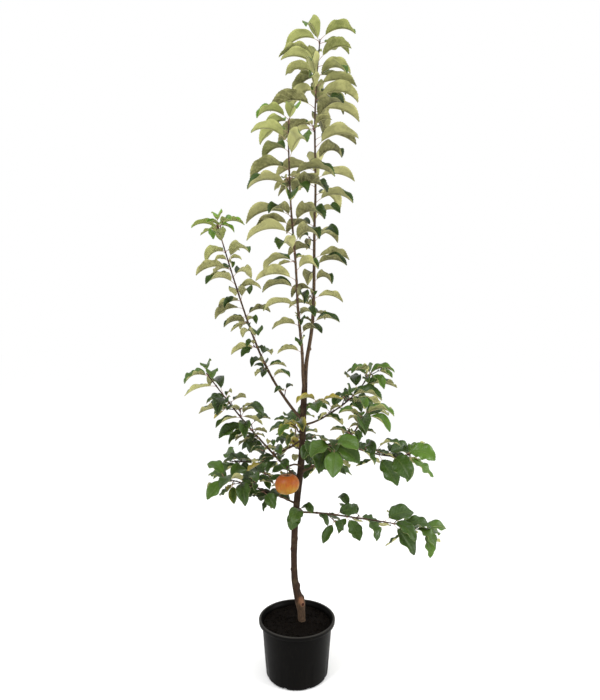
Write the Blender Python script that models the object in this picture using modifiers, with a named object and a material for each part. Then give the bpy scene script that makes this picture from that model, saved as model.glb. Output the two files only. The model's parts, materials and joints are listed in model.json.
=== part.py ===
# Dwarf fruit tree in a pot: pot, compost, trunk, leaders, boughs and their leafy shoots.
# Metres, +Z up, +X to the right of the front view and +Y to the back.
# The origin is the centre of the pot's flat underside.

import math
import random
from collections import namedtuple

import bmesh
import bpy
import numpy as np
from mathutils import Matrix, Vector

GAP = 0.0003                  # clearance between neighbouring solids
WELD = 0.00001                # points closer than this are one point

# Pot and compost
POT_HEIGHT = 0.172
POT_RIM_RADIUS = 0.120
POT_TOP_RADIUS = 0.110        # of the body, at the underside of the lip
POT_BASE_RADIUS = 0.096
POT_WALL = 0.0025
POT_FLOOR = 0.0035
POT_CORNER = 0.009            # rounding between the wall and the underside
POT_STEPS = 32
LIP_HEIGHT = 0.011
LIP_ROUND = 0.0025
DRAIN_COUNT = 8
DRAIN_WIDTH = 0.014
DRAIN_HEIGHT = 0.007
DRAIN_DEPTH = 0.020
SOIL_LEVEL = 0.156

# The main axis from the soil to the top of the back leader: x, y, z and radius.
# It has a kink and a swelling where the variety was grafted on its rootstock.
FOOT_RADIUS = 0.0145
FORK_HEIGHT = 0.876
MAIN_AXIS = (
    (0.0142, 0.000, 0.164, 0.0128),
    (0.0130, 0.000, 0.192, 0.0128),
    (0.0100, 0.000, 0.220, 0.0166),
    (0.0005, 0.000, 0.250, 0.0125),
    (-0.0064, 0.001, 0.284, 0.0112),
    (-0.0095, 0.003, 0.352, 0.0103),
    (-0.0073, 0.004, 0.446, 0.0104),
    (0.0000, 0.000, 0.541, 0.0108),
    (0.0136, -0.003, 0.662, 0.0105),
    (0.0190, 0.000, 0.794, 0.0100),
    (0.0225, 0.001, 0.870, 0.0096),
    (0.0300, 0.006, 0.975, 0.0066),
    (0.0478, 0.018, 1.088, 0.0058),
    (0.0540, 0.028, 1.210, 0.0052),
    (0.0560, 0.040, 1.397, 0.0044),
    (0.0600, 0.048, 1.545, 0.0037),
    (0.0580, 0.056, 1.755, 0.0029),
    (0.0645, 0.060, 1.905, 0.0024),
    (0.0750, 0.062, 2.032, 0.0019),
)

# The front leader leaves the back one just above the fork.
FRONT_AXIS = (
    (0.0232, 0.001, 0.884, 0.0052),
    (0.0185, -0.012, 0.935, 0.0050),
    (0.0157, -0.022, 1.015, 0.0046),
    (0.0035, -0.037, 1.140, 0.0041),
    (-0.0043, -0.048, 1.285, 0.0036),
    (-0.0190, -0.056, 1.465, 0.0029),
    (-0.0255, -0.060, 1.650, 0.0022),
    (-0.0230, -0.060, 1.720, 0.0018),
)

# Pruned stubs on the trunk: height, heading in degrees and size.
KNOTS = ((0.273, 0, 0.0078), (0.322, 175, 0.0056), (0.386, 200, 0.0056))
KNOT_SUNK = 0.45              # share of a knot's size that lies in the trunk

# Each bough leaves its parent at a height, and ends at a reach and a rise from there.
# Arch lifts its middle above the straight line. On another bough, height is a share of its length.
Bough = namedtuple("Bough", "parent height heading reach rise arch radius tip")
BOUGHS = {
    "left_high": Bough("trunk", 0.794, 160.7, 0.303, 0.643, -0.100, 0.0052, 0.0019),
    "left_middle": Bough("trunk", 0.604, 200.0, 0.293, 0.343, -0.014, 0.0038, 0.0017),
    "left_low": Bough("trunk", 0.529, 197.7, 0.231, 0.098, 0.007, 0.0032, 0.0016),
    "left_back": Bough("trunk", 0.734, 155.6, 0.266, -0.093, -0.025, 0.0032, 0.0016),
    "right_high": Bough("trunk", 0.778, 23.3, 0.253, 0.160, -0.032, 0.0036, 0.0017),
    "right_middle": Bough("trunk", 0.633, -28.5, 0.230, 0.200, -0.033, 0.0040, 0.0018),
    "right_side": Bough("right_middle", 0.600, -8.9, 0.194, -0.030, -0.018, 0.0026, 0.0015),
    "right_low": Bough("trunk", 0.5035, 6.7, 0.429, -0.081, 0.012, 0.0034, 0.0015),
    "front": Bough("trunk", 0.702, -62.0, 0.200, 0.040, 0.010, 0.0032, 0.0016),
    "back": Bough("trunk", 0.660, 95.0, 0.240, 0.110, -0.020, 0.0034, 0.0016),
    "back_left": Bough("trunk", 0.560, 128.0, 0.230, 0.030, 0.010, 0.0032, 0.0016),
    "back_right": Bough("trunk", 0.620, 58.0, 0.250, 0.020, 0.012, 0.0032, 0.0016),
    "spur_low": Bough("trunk", 0.516, -72.0, 0.060, 0.008, 0.0, 0.0022, 0.0016),
    "spur_left": Bough("trunk", 0.748, -112.0, 0.085, 0.045, 0.0, 0.0024, 0.0016),
    "spur_right": Bough("trunk", 0.838, -35.0, 0.070, 0.020, 0.0, 0.0024, 0.0016),
    "spur_back": Bough("trunk", 0.765, 110.0, 0.080, 0.025, 0.0, 0.0024, 0.0016),
}
ROUTE_STEP = 0.030            # spacing of the points along a limb
SWAY = 0.004                  # how far a bough wanders to each side
SWAY_WAVES = 1.5

# The leafy shoot that each limb carries: the share of the limb that is bare, the numbers of
# leaves and twigs, the longest leaf, the slope of its leaf tips and how far the leaves turn to
# the light, both in degrees, and a seed.
Shoot = namedtuple("Shoot", "bare leaves twigs leaf_length droop tilt seed")
SHOOTS = {
    "leader_back": Shoot(0.19, 36, 0, 0.166, -50, 2, 206),
    "leader_front": Shoot(0.14, 26, 0, 0.162, -50, 2, 198),
    "left_high": Shoot(0.22, 20, 0, 0.132, -52, 6, 240),
    "left_middle": Shoot(0.20, 12, 1, 0.120, -54, 12, 223),
    "left_low": Shoot(0.22, 8, 1, 0.116, -66, 30, 68),
    "left_back": Shoot(0.18, 10, 1, 0.106, -57, 22, 99),
    "right_high": Shoot(0.22, 11, 1, 0.126, -52, 14, 49),
    "right_middle": Shoot(0.64, 7, 0, 0.128, -54, 16, 38),
    "right_side": Shoot(0.12, 9, 1, 0.118, -66, 28, 37),
    "right_low": Shoot(0.14, 12, 1, 0.114, -74, 34, 215),
    "front": Shoot(0.26, 8, 1, 0.110, -62, 24, 107),
    "back": Shoot(0.24, 9, 1, 0.112, -56, 16, 148),
    "back_left": Shoot(0.24, 8, 1, 0.112, -60, 20, 136),
    "back_right": Shoot(0.24, 8, 1, 0.112, -60, 20, 84),
    "spur_low": Shoot(0.0, 4, 0, 0.100, -74, 30, 111),
    "spur_left": Shoot(0.0, 4, 0, 0.100, -50, 14, 103),
    "spur_right": Shoot(0.0, 4, 0, 0.100, -52, 14, 196),
    "spur_back": Shoot(0.0, 4, 0, 0.100, -52, 14, 158),
}

# How leaves stand on a shoot, with angles in degrees.
LIGHT_HEADING = -90.0         # the side that the leaves of the lower crown turn to
LEAF_TURN = 144.0             # each leaf stands two fifths of a turn on from the last
TURN_JITTER = 16.0
LEAF_ANGLE = 52.0             # between the shoot and the leaf's stalk, at the shoot's foot
TIP_ANGLE = 38.0              # and near its tip
FIRST_LEAF = 0.006            # from the foot of a shoot on a bough
FIRST_SPUR_LEAF = 0.028       # from the trunk's middle, on a spur
LAST_LEAF = 0.002             # from the tip
TUFT_LEAVES = 3               # close together at the tip of each shoot
TUFT_SPACING = 0.006
TUFT_ANGLE = 48.0
FOOT_SIZE = 0.56              # leaves at a shoot's foot are smaller
FULL_SHARE = 0.60             # they are full size from this share of the shoot
TIP_SIZE = 0.80
TIP_SHARE = 0.84
SIZE_JITTER = (0.90, 1.08)
DROOP_JITTER = 12.0
ROLL_JITTER = 20.0            # on an upright shoot
SHADE_ROLL = 16.0             # more by this on a level one
STEEPEST = (-50.0, 66.0)      # slopes at which a stalk may start
TWIG_LENGTH = 0.030
TWIG_JITTER = (0.7, 1.3)
TWIG_RADIUS = 0.0013
TWIG_LEAVES = 2
TWIG_LEAF_SIZE = 0.80

# A leaf's shape: shares are of its whole length, stalk and blade.
STALK_SHARE = 0.17
STALK_HALF = 0.0010
BLADE_WIDTH = 0.54            # of the blade's length, on an upright shoot
SHADE_WIDTH = 0.18            # broader by this on a level one
BLADE_SKEW = 0.92             # puts the widest place nearer the stalk
BLADE_FULLNESS = 0.78
BLADE_THICKNESS = 0.0013
BLADE_RINGS = (0.42, 0.74)
FOLD = math.tan(math.radians(36.0))

# The room that a leaf needs
LEAF_CLEAR = 0.008            # leaf to leaf, and leaf to fruit
LIMB_CLEAR = 0.010            # leaf to bare wood
SPACE_CLEAR = 0.003           # leaf to the edge of its shoot's space
LINE_SPACING = 0.012
SAMPLE_SHARES = (0.32, 0.48, 0.64, 0.82, 1.0)
SAMPLE_SIDES = (-1.0, -0.5, 0.0, 0.5, 1.0)
TRY_TURNS = (0, 32, -32, 64, -64, 100, -100)

# The fruit hangs in front of the trunk on a short spur.
FRUIT_RADIUS = 0.0365
FRUIT_HEIGHT = 0.062
FRUIT_CENTRE = (-0.029, -0.090, 0.6150)
FRUIT_STEPS = 16
FRUIT_ROWS = 9
FRUIT_FULLNESS = 0.85
DIMPLE_DEPTH = 0.22           # of half the height
DIMPLE_WIDTH = 0.34           # of the radius
SPUR_HEIGHT = 0.650
SPUR_RADIUS = 0.0026
SPUR_ARCH = 0.006
STALK_DROP = 0.020            # from the spur down to the fruit's top
STALK_RADIUS = 0.0015
STALK_SUNK = 0.30             # of the fruit's height, above its middle

Leaf = namedtuple("Leaf", "root heading start end roll length width")


def clear_scene():
    for obj in list(bpy.data.objects):
        bpy.data.objects.remove(obj, do_unlink=True)


def new_collection(name):
    collection = bpy.data.collections.new(name)
    bpy.context.scene.collection.children.link(collection)
    return collection


def material(name, colour, roughness, metallic=0.0):
    made = bpy.data.materials.new(name)
    made.use_nodes = True
    shader = made.node_tree.nodes["Principled BSDF"]
    shader.inputs["Base Color"].default_value = (*colour, 1.0)
    shader.inputs["Roughness"].default_value = roughness
    shader.inputs["Metallic"].default_value = metallic
    made.diffuse_color = (*colour, 1.0)
    return made


def add_object(name, mesh, collection, look=None):
    obj = bpy.data.objects.new(name, mesh)
    collection.objects.link(obj)
    if look is not None:
        mesh.materials.clear()
        mesh.materials.append(look)
    return obj


def evaluated_mesh(obj):
    graph = bpy.context.evaluated_depsgraph_get()
    return bpy.data.meshes.new_from_object(obj.evaluated_get(graph))


def subtract(obj, cutter):
    cut = obj.modifiers.new(cutter.name, "BOOLEAN")
    cut.operation = "DIFFERENCE"
    cut.object = cutter


def add_cutter(name, mesh, cutters):
    cutter = add_object(name, mesh, cutters)
    cutter.hide_render = True
    cutter.display_type = "WIRE"
    return cutter


def fuse(base, pieces, name):
    """Join pieces to a base object by one union on a collection."""
    group = new_collection(name + "_pieces")
    for index, mesh in enumerate(pieces):
        add_object(f"{name}_piece_{index}", mesh, group)
    join = base.modifiers.new("join", "BOOLEAN")
    join.operation = "UNION"
    join.operand_type = "COLLECTION"
    join.collection = group
    mesh = evaluated_mesh(base)
    for obj in list(group.objects):
        bpy.data.objects.remove(obj, do_unlink=True)
    bpy.data.collections.remove(group)
    base.modifiers.clear()
    base.data = mesh


# Pot and compost

def screw_object(name, profile, steps, collection, look=None):
    """Turn a profile of (radius, height), which runs down its outer side, about Z."""
    mesh = bpy.data.meshes.new(name)
    bm = bmesh.new()
    points = [bm.verts.new((radius, 0.0, height)) for radius, height in profile]
    for first, second in zip(points, points[1:]):
        bm.edges.new((first, second))
    bm.to_mesh(mesh)
    bm.free()
    obj = add_object(name, mesh, collection, look)
    screw = obj.modifiers.new("turn", "SCREW")
    screw.steps = steps
    screw.render_steps = steps
    screw.use_merge_vertices = True
    screw.merge_threshold = WELD
    screw.use_smooth_shade = True
    return obj


def arc(centre_radius, centre_height, size, first, last, count):
    """Points on an arc, with angles in degrees from the outward direction."""
    points = []
    for index in range(count + 1):
        angle = math.radians(first + (last - first) * index / count)
        points.append((centre_radius + size * math.cos(angle), centre_height + size * math.sin(angle)))
    return points


def wall_radius(height):
    """Outer radius of the pot's body at a height."""
    share = height / (POT_HEIGHT - LIP_HEIGHT)
    return POT_BASE_RADIUS + (POT_TOP_RADIUS - POT_BASE_RADIUS) * share


def make_pot(collection, cutters, look):
    corner = POT_CORNER - POT_WALL
    lip_foot = POT_HEIGHT - LIP_HEIGHT
    lip_top = POT_HEIGHT - LIP_ROUND
    corner_radius = wall_radius(POT_CORNER)
    profile = [(0.0, POT_FLOOR)]
    profile += arc(corner_radius - POT_WALL - corner, POT_FLOOR + corner, corner, -90, 0, 3)
    profile.append((wall_radius(POT_HEIGHT) - POT_WALL, lip_top))
    profile.append((wall_radius(POT_HEIGHT), POT_HEIGHT))
    profile += arc(POT_RIM_RADIUS - LIP_ROUND, lip_top, LIP_ROUND, 90, 0, 3)
    profile.append((POT_RIM_RADIUS - LIP_ROUND / 5, lip_foot))
    profile.append((POT_RIM_RADIUS - LIP_ROUND, lip_foot))
    profile.append((wall_radius(lip_top) + POT_WALL, lip_top - LIP_ROUND))
    profile.append((wall_radius(lip_foot), lip_foot))
    profile += arc(corner_radius - POT_CORNER, POT_CORNER, POT_CORNER, 0, -90, 4)
    profile.append((0.0, 0.0))
    pot = screw_object("pot", profile, POT_STEPS, collection, look)
    for index in range(DRAIN_COUNT):
        subtract(pot, make_drain(index, cutters))


def make_drain(index, cutters):
    """A slot through the pot's bottom corner, open to the wall and the underside."""
    mesh = bpy.data.meshes.new("drain")
    bm = bmesh.new()
    bmesh.ops.create_cube(bm, size=1.0)
    bmesh.ops.scale(bm, vec=(DRAIN_DEPTH, DRAIN_WIDTH, 2 * DRAIN_HEIGHT), verts=bm.verts)
    bm.to_mesh(mesh)
    bm.free()
    drain = add_cutter(f"drain_{index}", mesh, cutters)
    angle = 2 * math.pi * (index + 0.5) / DRAIN_COUNT
    drain.location = (POT_BASE_RADIUS * math.cos(angle), POT_BASE_RADIUS * math.sin(angle), 0.0)
    drain.rotation_euler.z = angle
    return drain


def make_compost(collection, look):
    corner = POT_CORNER - POT_WALL
    inset = POT_WALL + GAP * 1.5
    profile = [(0.0, SOIL_LEVEL), (wall_radius(SOIL_LEVEL) - inset, SOIL_LEVEL)]
    profile += arc(
        wall_radius(POT_CORNER) - inset - corner, POT_FLOOR + GAP + corner, corner, 0, -90, 3)
    profile.append((0.0, POT_FLOOR + GAP))
    screw_object("compost", profile, POT_STEPS, collection, look)


# Routes: each is a list of 4D points, x, y, z and the limb's radius

def smooth_route(points, step):
    """A smooth run of points through hand-set ones, about a step apart."""
    knots = [Vector(point) for point in points]
    padded = [knots[0], *knots, knots[-1]]
    route = []
    for before, first, second, after in zip(padded, padded[1:], padded[2:], padded[3:]):
        count = max(1, round((second.xyz - first.xyz).length / step))
        for index in range(count):
            t = index / count
            bend = 2 * before - 5 * first + 4 * second - after
            twist = 3 * first - before - 3 * second + after
            route.append(0.5 * (2 * first + (second - before) * t + bend * t * t + twist * t ** 3))
    route.append(knots[-1])
    return route


def route_length(route):
    return sum((second.xyz - first.xyz).length for first, second in zip(route, route[1:]))


def route_point(route, distance):
    """The 4D point and the direction at a distance along a route."""
    travelled = 0.0
    for first, second in zip(route, route[1:]):
        run = (second.xyz - first.xyz).length
        if travelled + run >= distance:
            break
        travelled += run
    share = min(1.0, (distance - travelled) / run)
    return first.lerp(second, share), (second.xyz - first.xyz).normalized()


def distance_at_height(route, height):
    """How far along a rising route its height is reached."""
    travelled = 0.0
    for first, second in zip(route, route[1:]):
        run = (second.xyz - first.xyz).length
        if second.z >= height:
            return travelled + run * (height - first.z) / (second.z - first.z)
        travelled += run
    return travelled


def cut_route(route, start, end):
    """The stretch of a route between two distances along it."""
    stretch = [route_point(route, start)[0]]
    travelled = 0.0
    for first, second in zip(route, route[1:]):
        travelled += (second.xyz - first.xyz).length
        if start + GAP < travelled < end - GAP:
            stretch.append(second)
    stretch.append(route_point(route, end)[0])
    return stretch


def level_direction(heading):
    angle = math.radians(heading)
    return Vector((math.cos(angle), math.sin(angle), 0.0))


def bough_route(bough, root):
    """A bough from its root to its tip, arched and with a slight sway."""
    outward = level_direction(bough.heading)
    sideways = level_direction(bough.heading + 90)
    count = max(2, round(math.hypot(bough.reach, bough.rise) / ROUTE_STEP))
    route = []
    for index in range(count + 1):
        t = index / count
        sway = SWAY * math.sin(2 * math.pi * SWAY_WAVES * t + bough.heading) * min(1.0, 4 * t)
        place = root + outward * bough.reach * t + sideways * sway
        place.z += bough.rise * t + bough.arch * 4 * t * (1 - t)
        route.append(Vector((*place, bough.radius + (bough.tip - bough.radius) * t)))
    return route


def all_routes():
    """Every limb's route, by name. The back leader goes on from the trunk."""
    main_route = smooth_route(MAIN_AXIS, ROUTE_STEP)
    fork = distance_at_height(main_route, FORK_HEIGHT)
    foot = Vector((main_route[0].x, main_route[0].y, SOIL_LEVEL + GAP, FOOT_RADIUS))
    routes = {
        "trunk": [foot, *cut_route(main_route, 0.0, fork - GAP / 2)],
        "leader_back": cut_route(main_route, fork + GAP / 2, route_length(main_route)),
        "leader_front": smooth_route(FRONT_AXIS, ROUTE_STEP),
    }
    for name, bough in BOUGHS.items():
        parent = routes[bough.parent]
        distance = bough.height * route_length(parent)
        if bough.parent == "trunk":
            distance = distance_at_height(parent, bough.height)
        root = route_point(parent, distance)[0].xyz
        routes[name] = bough_route(bough, root)
    return routes


def parent_of(name):
    return BOUGHS[name].parent if name in BOUGHS else "leader_back"


# Limbs

def tube_mesh(name, route, resolution, grow=0.0):
    """A closed tapering tube along a route, from a bevelled curve."""
    curve = bpy.data.curves.new(name, "CURVE")
    curve.dimensions = "3D"
    curve.bevel_depth = 1.0
    curve.bevel_resolution = resolution
    curve.use_fill_caps = True
    spline = curve.splines.new("POLY")
    spline.points.add(len(route) - 1)
    for point, place in zip(spline.points, route):
        point.co = (*place.xyz, 1.0)
        point.radius = place.w + grow
    holder = bpy.data.objects.new(name, curve)
    bpy.context.scene.collection.objects.link(holder)
    mesh = evaluated_mesh(holder)
    bpy.data.objects.remove(holder, do_unlink=True)
    bm = bmesh.new()
    bm.from_mesh(mesh)
    bmesh.ops.remove_doubles(bm, verts=bm.verts, dist=WELD)
    bmesh.ops.recalc_face_normals(bm, faces=bm.faces)
    bm.to_mesh(mesh)
    bm.free()
    mesh.shade_smooth()
    mesh.set_sharp_from_angle(angle=math.radians(50))
    return mesh


def knot_mesh(route, height, heading, size):
    """A rounded stub, partly sunk in the trunk's side."""
    place = route_point(route, distance_at_height(route, height))[0]
    centre = place.xyz + level_direction(heading) * (place.w - size * KNOT_SUNK)
    bm = bmesh.new()
    bmesh.ops.create_uvsphere(
        bm, u_segments=8, v_segments=6, radius=size, matrix=Matrix.Translation(centre))
    mesh = bpy.data.meshes.new("knot")
    bm.to_mesh(mesh)
    bm.free()
    return mesh


def make_trunk(route, collection, cutters, look):
    """The trunk with its knots. Returns the cutter that keeps its boughs clear of it."""
    trunk = add_object("trunk", tube_mesh("trunk", route, 4), collection, look)
    fuse(trunk, [knot_mesh(route, *knot) for knot in KNOTS], "trunk")
    return add_cutter("trunk_cutter", tube_mesh("trunk_cutter", route, 4, GAP), cutters)


def make_bough(name, route, cutter_of, collection, cutters, look):
    """A limb up to where its leaves begin."""
    bare = cut_route(route, 0.0, SHOOTS[name].bare * route_length(route) - GAP / 2)
    limb = add_object("bough_" + name, tube_mesh(name, bare, 2), collection, look)
    if name != "leader_back":
        subtract(limb, cutter_of[parent_of(name)])
    cutter_of[name] = add_cutter(name + "_cutter", tube_mesh(name, bare, 2, GAP), cutters)


# Leaves

def leaf_frame(leaf, share):
    """The midrib's point, side and upward directions at a share of the leaf's length."""
    start = math.radians(leaf.start)
    bend = math.radians(leaf.end) - start
    slope = start + bend * share
    along = leaf.length * (math.sin(slope) - math.sin(start)) / bend
    climb = leaf.length * (math.cos(start) - math.cos(slope)) / bend
    ahead = level_direction(leaf.heading)
    side = level_direction(leaf.heading + 90)
    upward = Vector((0.0, 0.0, math.cos(slope))) - ahead * math.sin(slope)
    roll = math.radians(leaf.roll) * min(1.0, share / STALK_SHARE)
    place = leaf.root + ahead * along + Vector((0.0, 0.0, climb))
    rolled_side = side * math.cos(roll) + upward * math.sin(roll)
    rolled_up = upward * math.cos(roll) - side * math.sin(roll)
    return place, rolled_side, rolled_up


def blade_half(leaf, share):
    """Half the blade's width at a share of the leaf's length."""
    along = max(0.0, (share - STALK_SHARE) / (1.0 - STALK_SHARE))
    return leaf.width / 2 * max(0.0, math.sin(math.pi * along ** BLADE_SKEW)) ** BLADE_FULLNESS


def leaf_samples(leaf):
    """Points over the blade that stand for it in the tests of space."""
    samples = []
    for share in SAMPLE_SHARES:
        place, side, upward = leaf_frame(leaf, share)
        half = blade_half(leaf, share)
        for across in SAMPLE_SIDES:
            samples.append(place + side * half * across + upward * half * abs(across) * FOLD)
    return np.array(samples)


def leaf_ring(leaf, share):
    """The four corners of a leaf's section: square on the stalk, a thin folded blade beyond."""
    place, side, upward = leaf_frame(leaf, share)
    half = STALK_HALF
    thick = STALK_HALF
    edge = Vector()
    if share > STALK_SHARE:
        half = blade_half(leaf, share)
        thick = BLADE_THICKNESS / 2
        edge = upward * half * FOLD
    corners = (edge - side * half, upward * thick, edge + side * half, -upward * thick)
    return [place + corner for corner in corners]


def leaf_mesh(leaf):
    """A loft of four-cornered rings from the stalk's root to the leaf's tip."""
    bm = bmesh.new()
    rings = []
    for share in (0.0, STALK_SHARE, *BLADE_RINGS):
        rings.append([bm.verts.new(corner) for corner in leaf_ring(leaf, share)])
    tip = bm.verts.new(leaf_frame(leaf, 1.0)[0])
    bm.faces.new(rings[0])
    for ring, ahead in zip(rings, rings[1:]):
        for corner in range(4):
            beside = (corner + 1) % 4
            # the upper and lower faces take matching diagonals, so that a thin blade doesn't cross itself
            if corner % 2 == 0:
                bm.faces.new((ring[corner], ring[beside], ahead[beside]))
                bm.faces.new((ring[corner], ahead[beside], ahead[corner]))
            else:
                bm.faces.new((ring[corner], ring[beside], ahead[corner]))
                bm.faces.new((ring[beside], ahead[beside], ahead[corner]))
    for corner in range(4):
        bm.faces.new((rings[-1][corner], rings[-1][(corner + 1) % 4], tip))
    bmesh.ops.recalc_face_normals(bm, faces=bm.faces)
    mesh = bpy.data.meshes.new("leaf")
    bm.to_mesh(mesh)
    bm.free()
    return mesh


def twig_mesh(start, end):
    """A three-sided twig that tapers a little."""
    run = end - start
    turn = run.to_track_quat("Z", "Y").to_matrix().to_4x4()
    turn.translation = (start + end) / 2
    bm = bmesh.new()
    bmesh.ops.create_cone(
        bm, cap_ends=True, segments=3, radius1=TWIG_RADIUS * 1.3, radius2=TWIG_RADIUS,
        depth=run.length, matrix=turn)
    mesh = bpy.data.meshes.new("twig")
    bm.to_mesh(mesh)
    bm.free()
    return mesh


# Growth

def distances(points, cloud):
    """The distance from each point to each point of a cloud."""
    return np.sqrt(((points[:, None, :] - cloud[None, :, :]) ** 2).sum(axis=2))


def line_cloud(route, start, end):
    """Evenly spaced points on a stretch of a route, as an array of x, y, z and radius."""
    count = max(1, round((end - start) / LINE_SPACING))
    places = [start + (end - start) * index / count for index in range(count + 1)]
    return np.array([tuple(route_point(route, place)[0]) for place in places])


def fruit_samples():
    """Points over the fruit, which the leaves keep clear of."""
    samples = []
    for row in range(7):
        climb = math.pi * (row / 6 - 0.5)
        for heading in range(0, 360, 30):
            level = level_direction(heading) * math.cos(climb) * FRUIT_RADIUS
            rise = Vector((0.0, 0.0, math.sin(climb) * FRUIT_HEIGHT / 2))
            samples.append(Vector(FRUIT_CENTRE) + level + rise)
    return np.array(samples)


class Space:
    """What each leaf is tested against: bare wood, the other shoots and the leaves so far."""

    def __init__(self, routes):
        self.shoots = {}
        wood = []
        for name, route in routes.items():
            length = route_length(route)
            bare = length * (SHOOTS[name].bare if name in SHOOTS else 1.0)
            if bare > 0:
                wood.append(line_cloud(route, 0.0, bare))
            if bare < length:
                self.shoots[name] = line_cloud(route, bare, length)[:, :3]
        self.wood = np.concatenate(wood)
        self.leaves = fruit_samples()

    def has_room(self, samples, name):
        """True if a blade keeps clear of wood and leaves and in its own shoot's space."""
        to_wood = distances(samples, self.wood[:, :3]) - self.wood[None, :, 3]
        if to_wood.min() < LIMB_CLEAR:
            return False
        if distances(samples, self.leaves).min() < LEAF_CLEAR:
            return False
        others = [cloud for other, cloud in self.shoots.items() if other != name]
        to_own = distances(samples, self.shoots[name]).min(axis=1)
        to_others = distances(samples, np.concatenate(others)).min(axis=1)
        return bool((to_own + SPACE_CLEAR < to_others).all())

    def take(self, samples):
        self.leaves = np.concatenate((self.leaves, samples))


def leaf_size(share):
    """Leaves are small at a shoot's foot, full size past its middle and smaller at the tip."""
    grown = FOOT_SIZE + (1.0 - FOOT_SIZE) * min(1.0, share / FULL_SHARE)
    return grown * (1.0 - (1.0 - TIP_SIZE) * max(0.0, (share - TIP_SHARE) / (1.0 - TIP_SHARE)))


def leaving_direction(along, turn, angle):
    """A direction at an angle from a shoot, turned round it."""
    level = Vector((-along.y, along.x, 0.0)).normalized()
    across = along.cross(level)
    radial = level * math.cos(math.radians(turn)) + across * math.sin(math.radians(turn))
    return radial * math.sin(math.radians(angle)) + along * math.cos(math.radians(angle))


def place_leaf(space, name, root, direction, length, width, droop, roll):
    """The leaf at the first of a few headings that has room, or None."""
    heading = math.degrees(math.atan2(direction.y, direction.x))
    start = math.degrees(math.asin(max(-1.0, min(1.0, direction.z))))
    start = max(STEEPEST[0], min(STEEPEST[1], start))
    tilt = SHOOTS[name].tilt
    for turn in TRY_TURNS:
        to_light = math.radians(heading + turn - LIGHT_HEADING)
        turned_droop = droop + tilt * (1.0 - math.cos(to_light))
        turned_roll = roll + tilt * math.sin(to_light)
        leaf = Leaf(root, heading + turn, start, turned_droop, turned_roll, length, width)
        samples = leaf_samples(leaf)
        if space.has_room(samples, name):
            space.take(samples)
            return leaf
    return None


def grow_shoot(name, route, space):
    """The leaves and twigs of one shoot, by the seeded rule."""
    shoot = SHOOTS[name]
    rng = random.Random(shoot.seed)
    length = route_length(route)
    first = shoot.bare * length + FIRST_LEAF if shoot.bare else FIRST_SPUR_LEAF
    tuft = length - LAST_LEAF - TUFT_SPACING * TUFT_LEAVES
    twig_nodes = {round((index + 0.5) * shoot.leaves / (shoot.twigs * 1.6)) for index in range(shoot.twigs)}
    turn = rng.uniform(0.0, 360.0)
    leaves = []
    twigs = []
    for index in range(shoot.leaves + TUFT_LEAVES):
        share = min(1.0, index / (shoot.leaves - 1))
        tuft_step = max(0, index + 1 - shoot.leaves)
        place, along = route_point(route, first + (tuft - first) * share + tuft_step * TUFT_SPACING)
        shade = 1.0 - abs(along.z)
        turn += LEAF_TURN + rng.uniform(-TURN_JITTER, TURN_JITTER)
        angle = TUFT_ANGLE if tuft_step else LEAF_ANGLE + (TIP_ANGLE - LEAF_ANGLE) * share ** 3
        direction = leaving_direction(along, turn, angle)
        size = shoot.leaf_length * leaf_size(share) * rng.uniform(*SIZE_JITTER)
        droop = shoot.droop + rng.uniform(-DROOP_JITTER, DROOP_JITTER)
        roll = rng.uniform(-1.0, 1.0) * (ROLL_JITTER + SHADE_ROLL * shade)
        width_share = (1.0 - STALK_SHARE) * (BLADE_WIDTH + SHADE_WIDTH * shade)
        twig_length = TWIG_LENGTH * rng.uniform(*TWIG_JITTER)
        if index not in twig_nodes:
            leaf = place_leaf(space, name, place.xyz, direction, size, size * width_share, droop, roll)
            leaves += [leaf] if leaf else []
            continue
        end = place.xyz + direction * twig_length
        rosette = []
        for petal in range(TWIG_LEAVES):
            outward = leaving_direction(direction, turn + petal * 360 / TWIG_LEAVES, LEAF_ANGLE)
            root = end - direction * TUFT_SPACING * (petal + 0.5)
            small = size * TWIG_LEAF_SIZE
            leaf = place_leaf(space, name, root, outward, small, small * width_share, droop, roll)
            rosette += [leaf] if leaf else []
        if rosette:
            twigs.append((place.xyz, end))
            leaves += rosette
    return leaves, twigs


def make_shoot(name, route, space, cutter_of, collection, look):
    """A mass of leaves: one stem with its twigs and leaves fused on."""
    bare = SHOOTS[name].bare
    length = route_length(route)
    start = bare * length + GAP / 2 if bare else 0.0
    stem = add_object(
        "leaves_" + name, tube_mesh(name, cut_route(route, start, length), 0), collection, look)
    if not bare:
        subtract(stem, cutter_of[parent_of(name)])
        stem.data = evaluated_mesh(stem)
        stem.modifiers.clear()
    leaves, twigs = grow_shoot(name, route, space)
    pieces = [leaf_mesh(leaf) for leaf in leaves] + [twig_mesh(*twig) for twig in twigs]
    fuse(stem, pieces, name)


# Fruit

def fruit_mesh():
    """A slightly flattened round fruit with a dimple at each end, turned about Z."""
    scratch = new_collection("fruit_scratch")
    profile = []
    for row in range(FRUIT_ROWS + 1):
        climb = math.pi * (0.5 - row / FRUIT_ROWS)
        radius = FRUIT_RADIUS * math.cos(climb) ** FRUIT_FULLNESS if 0 < row < FRUIT_ROWS else 0.0
        dimple = DIMPLE_DEPTH * math.exp(-(radius / (DIMPLE_WIDTH * FRUIT_RADIUS)) ** 2)
        level = math.sin(climb) - math.copysign(dimple, math.sin(climb))
        profile.append((radius, level * FRUIT_HEIGHT / 2))
    turned = screw_object("fruit_turned", profile, FRUIT_STEPS, scratch)
    mesh = evaluated_mesh(turned)
    mesh.transform(Matrix.Translation(FRUIT_CENTRE))
    bpy.data.objects.remove(turned, do_unlink=True)
    bpy.data.collections.remove(scratch)
    return mesh


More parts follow.
